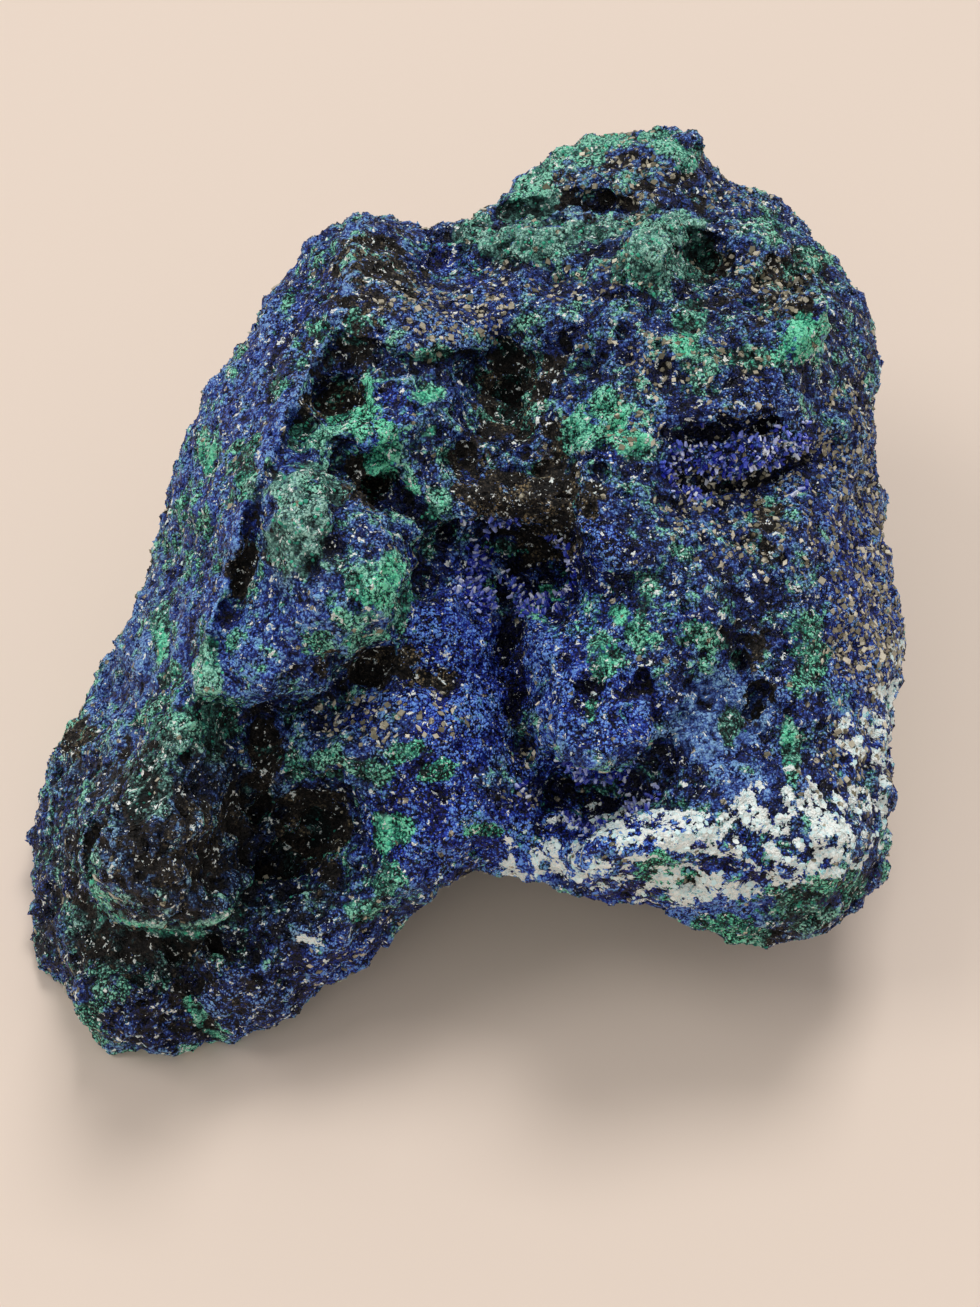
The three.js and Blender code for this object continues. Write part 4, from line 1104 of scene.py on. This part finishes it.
MALACHITE = grain_material("malachite_knob", GREENS, {"tone": 0.3, "green_tone": 0.5}, (0.45, 0.75))
CRUST = grain_material("pale_crust", PALES, {"tone": 0.4, "pale": 0.35}, (0.6, 0.85))
CLAY = grain_material("tan_chip", TANS, {"tone": 0.8}, (0.6, 0.85))
DRUSE = grain_material("azurite_crystal", CRYSTAL_BLUES_WITH_PAINTED_LIGHT, {"tone": 0.9}, (0.08, 0.3), shine=0.6)

# %% Grit of the rock's own minerals, on the face and round the sides
SIDES_SHARE = 0.85
skin = vertex_array(stone.data)
green, pale, tan = map(read_layer, ("green", "pale", "tan"))
on_face = eased(*PAINTED_FACING, facing_eye(stone.data))
not_foot = eased(0.4 * MM, 1.5 * MM, skin[:, 2])
for name, share, seed in (("grit_face", on_face, 5), ("grit_sides", SIDES_SHARE * (1 - on_face), 6)):
    grow(
        name, BLOCKS, share * (1 - 0.6 * pale) * not_foot, ROCK,
        density=1.0e6, smallest=0.3, largest=1.0, sunk=0.3, seed=seed,
    )

# %% Malachite knobs, pale crust and clay chips
grow(
    "malachite_knobs", KNOBS, eased(0.4, 0.9, green) * (1 - 0.8 * pale) * not_foot, MALACHITE,
    density=0.35e6, smallest=0.3, largest=0.9, sunk=0.12, seed=7,
)
grow(
    "pale_crust_flakes", FLAKES, eased(0.5, 0.9, pale) * not_foot, CRUST,
    density=0.3e6, smallest=0.4, largest=1.2, sunk=0.0, seed=8,
)
grow(
    "tan_chips", CHIPS, np.clip(tan - 0.05, 0, 1) * (1 - 0.7 * green) * not_foot, CLAY,
    density=0.9e6, smallest=0.5, largest=1.5, sunk=-0.05, seed=9,
)

# %% [markdown]
# ## Druses
# Three hollows are lined with a druse, a carpet of small azurite crystals that point into the hollow.
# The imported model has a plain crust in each, and the skin within about 2 mm of it is the crystals' bed.

# %% Druse crystals
BED_REACH = 2.6
BED_EDGE = 0.8
bed_noise = drift(skin, 3.0, seed=8)[:, 0]


def near_node(node):
    """1 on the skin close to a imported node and 0 further away."""
    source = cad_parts[node].data
    places = [vertex.co for vertex in source.vertices] + [polygon.center for polygon in source.polygons]
    tree = kdtree.KDTree(len(places))
    for index, place in enumerate(places):
        tree.insert(place, index)
    tree.balance()
    gaps = np.array([tree.find(point)[2] for point in skin]) / MM
    return (1 - eased(BED_REACH - BED_EDGE, BED_REACH, gaps)) * eased(-0.4, 0.1, bed_noise)


for seed, place in enumerate(("centre", "lower", "right")):
    node = "azurite_druse_" + place
    grow(
        node + "_crystals", SPIKES, near_node(node), DRUSE, "azurite_crystals", nodes=(node,),
        density=1.6e6, smallest=0.45, largest=1.15, sunk=0.0, seed=20 + seed,
    )

# %% [markdown]
# ## Floor and light
# The stone lies on a plain pale pinkish table. A broad soft lamp behind and above it gives the soft
# shadow towards the viewer, two weak ones on the left and in front bring out the face, and the pale
# room fills the rest.

# %% Floor
FLOOR_HALF = 6.0
corners = [(FLOOR_HALF * x, FLOOR_HALF * y, 0) for x, y in ((-1, -1), (1, -1), (1, 1), (-1, 1))]
floor_mesh = bpy.data.meshes.new("floor")
floor_mesh.from_pydata(corners, [], [(0, 1, 2, 3)])
floor = put("floor", floor_mesh)
paper, _, paper_shader = new_material("table_paper")
paper_shader.inputs["Base Color"].default_value = hue(230, 211, 195)
paper_shader.inputs["Roughness"].default_value = 0.7
floor_mesh.materials.append(paper)

# %% Lights
# Name, direction from the face, distance in m, size in m and power in W.
LAMPS = [
    ("back_lamp", (0.15, 0.55, 1.0), 4.5, 1.6, 88.0),
    ("left_lamp", (-0.8, 0.0, 1.1), 1.7, 0.65, 5.6),
    ("front_lamp", (-0.2, -0.8, 0.9), 2.0, 1.1, 3.4),
]
ROOM_LIGHT = 0.46

for name, towards, distance, size, power in LAMPS:
    lamp_data = bpy.data.lights.new(name, "AREA")
    lamp_data.size, lamp_data.energy = size, power
    lamp = put(name, lamp_data)
    direction = Vector(towards).normalized()
    lamp.location = Vector(FACE_CENTRE) + direction * distance
    lamp.rotation_euler = direction.to_track_quat("Z", "Y").to_euler()
world = bpy.data.worlds.new("room")
bpy.context.scene.world = world
world.use_nodes = True
background = world.node_tree.nodes["Background"].inputs
background["Color"].default_value = (1, 0.99, 0.98, 1)
background["Strength"].default_value = ROOM_LIGHT
bpy.context.scene.view_settings.view_transform = "Standard"
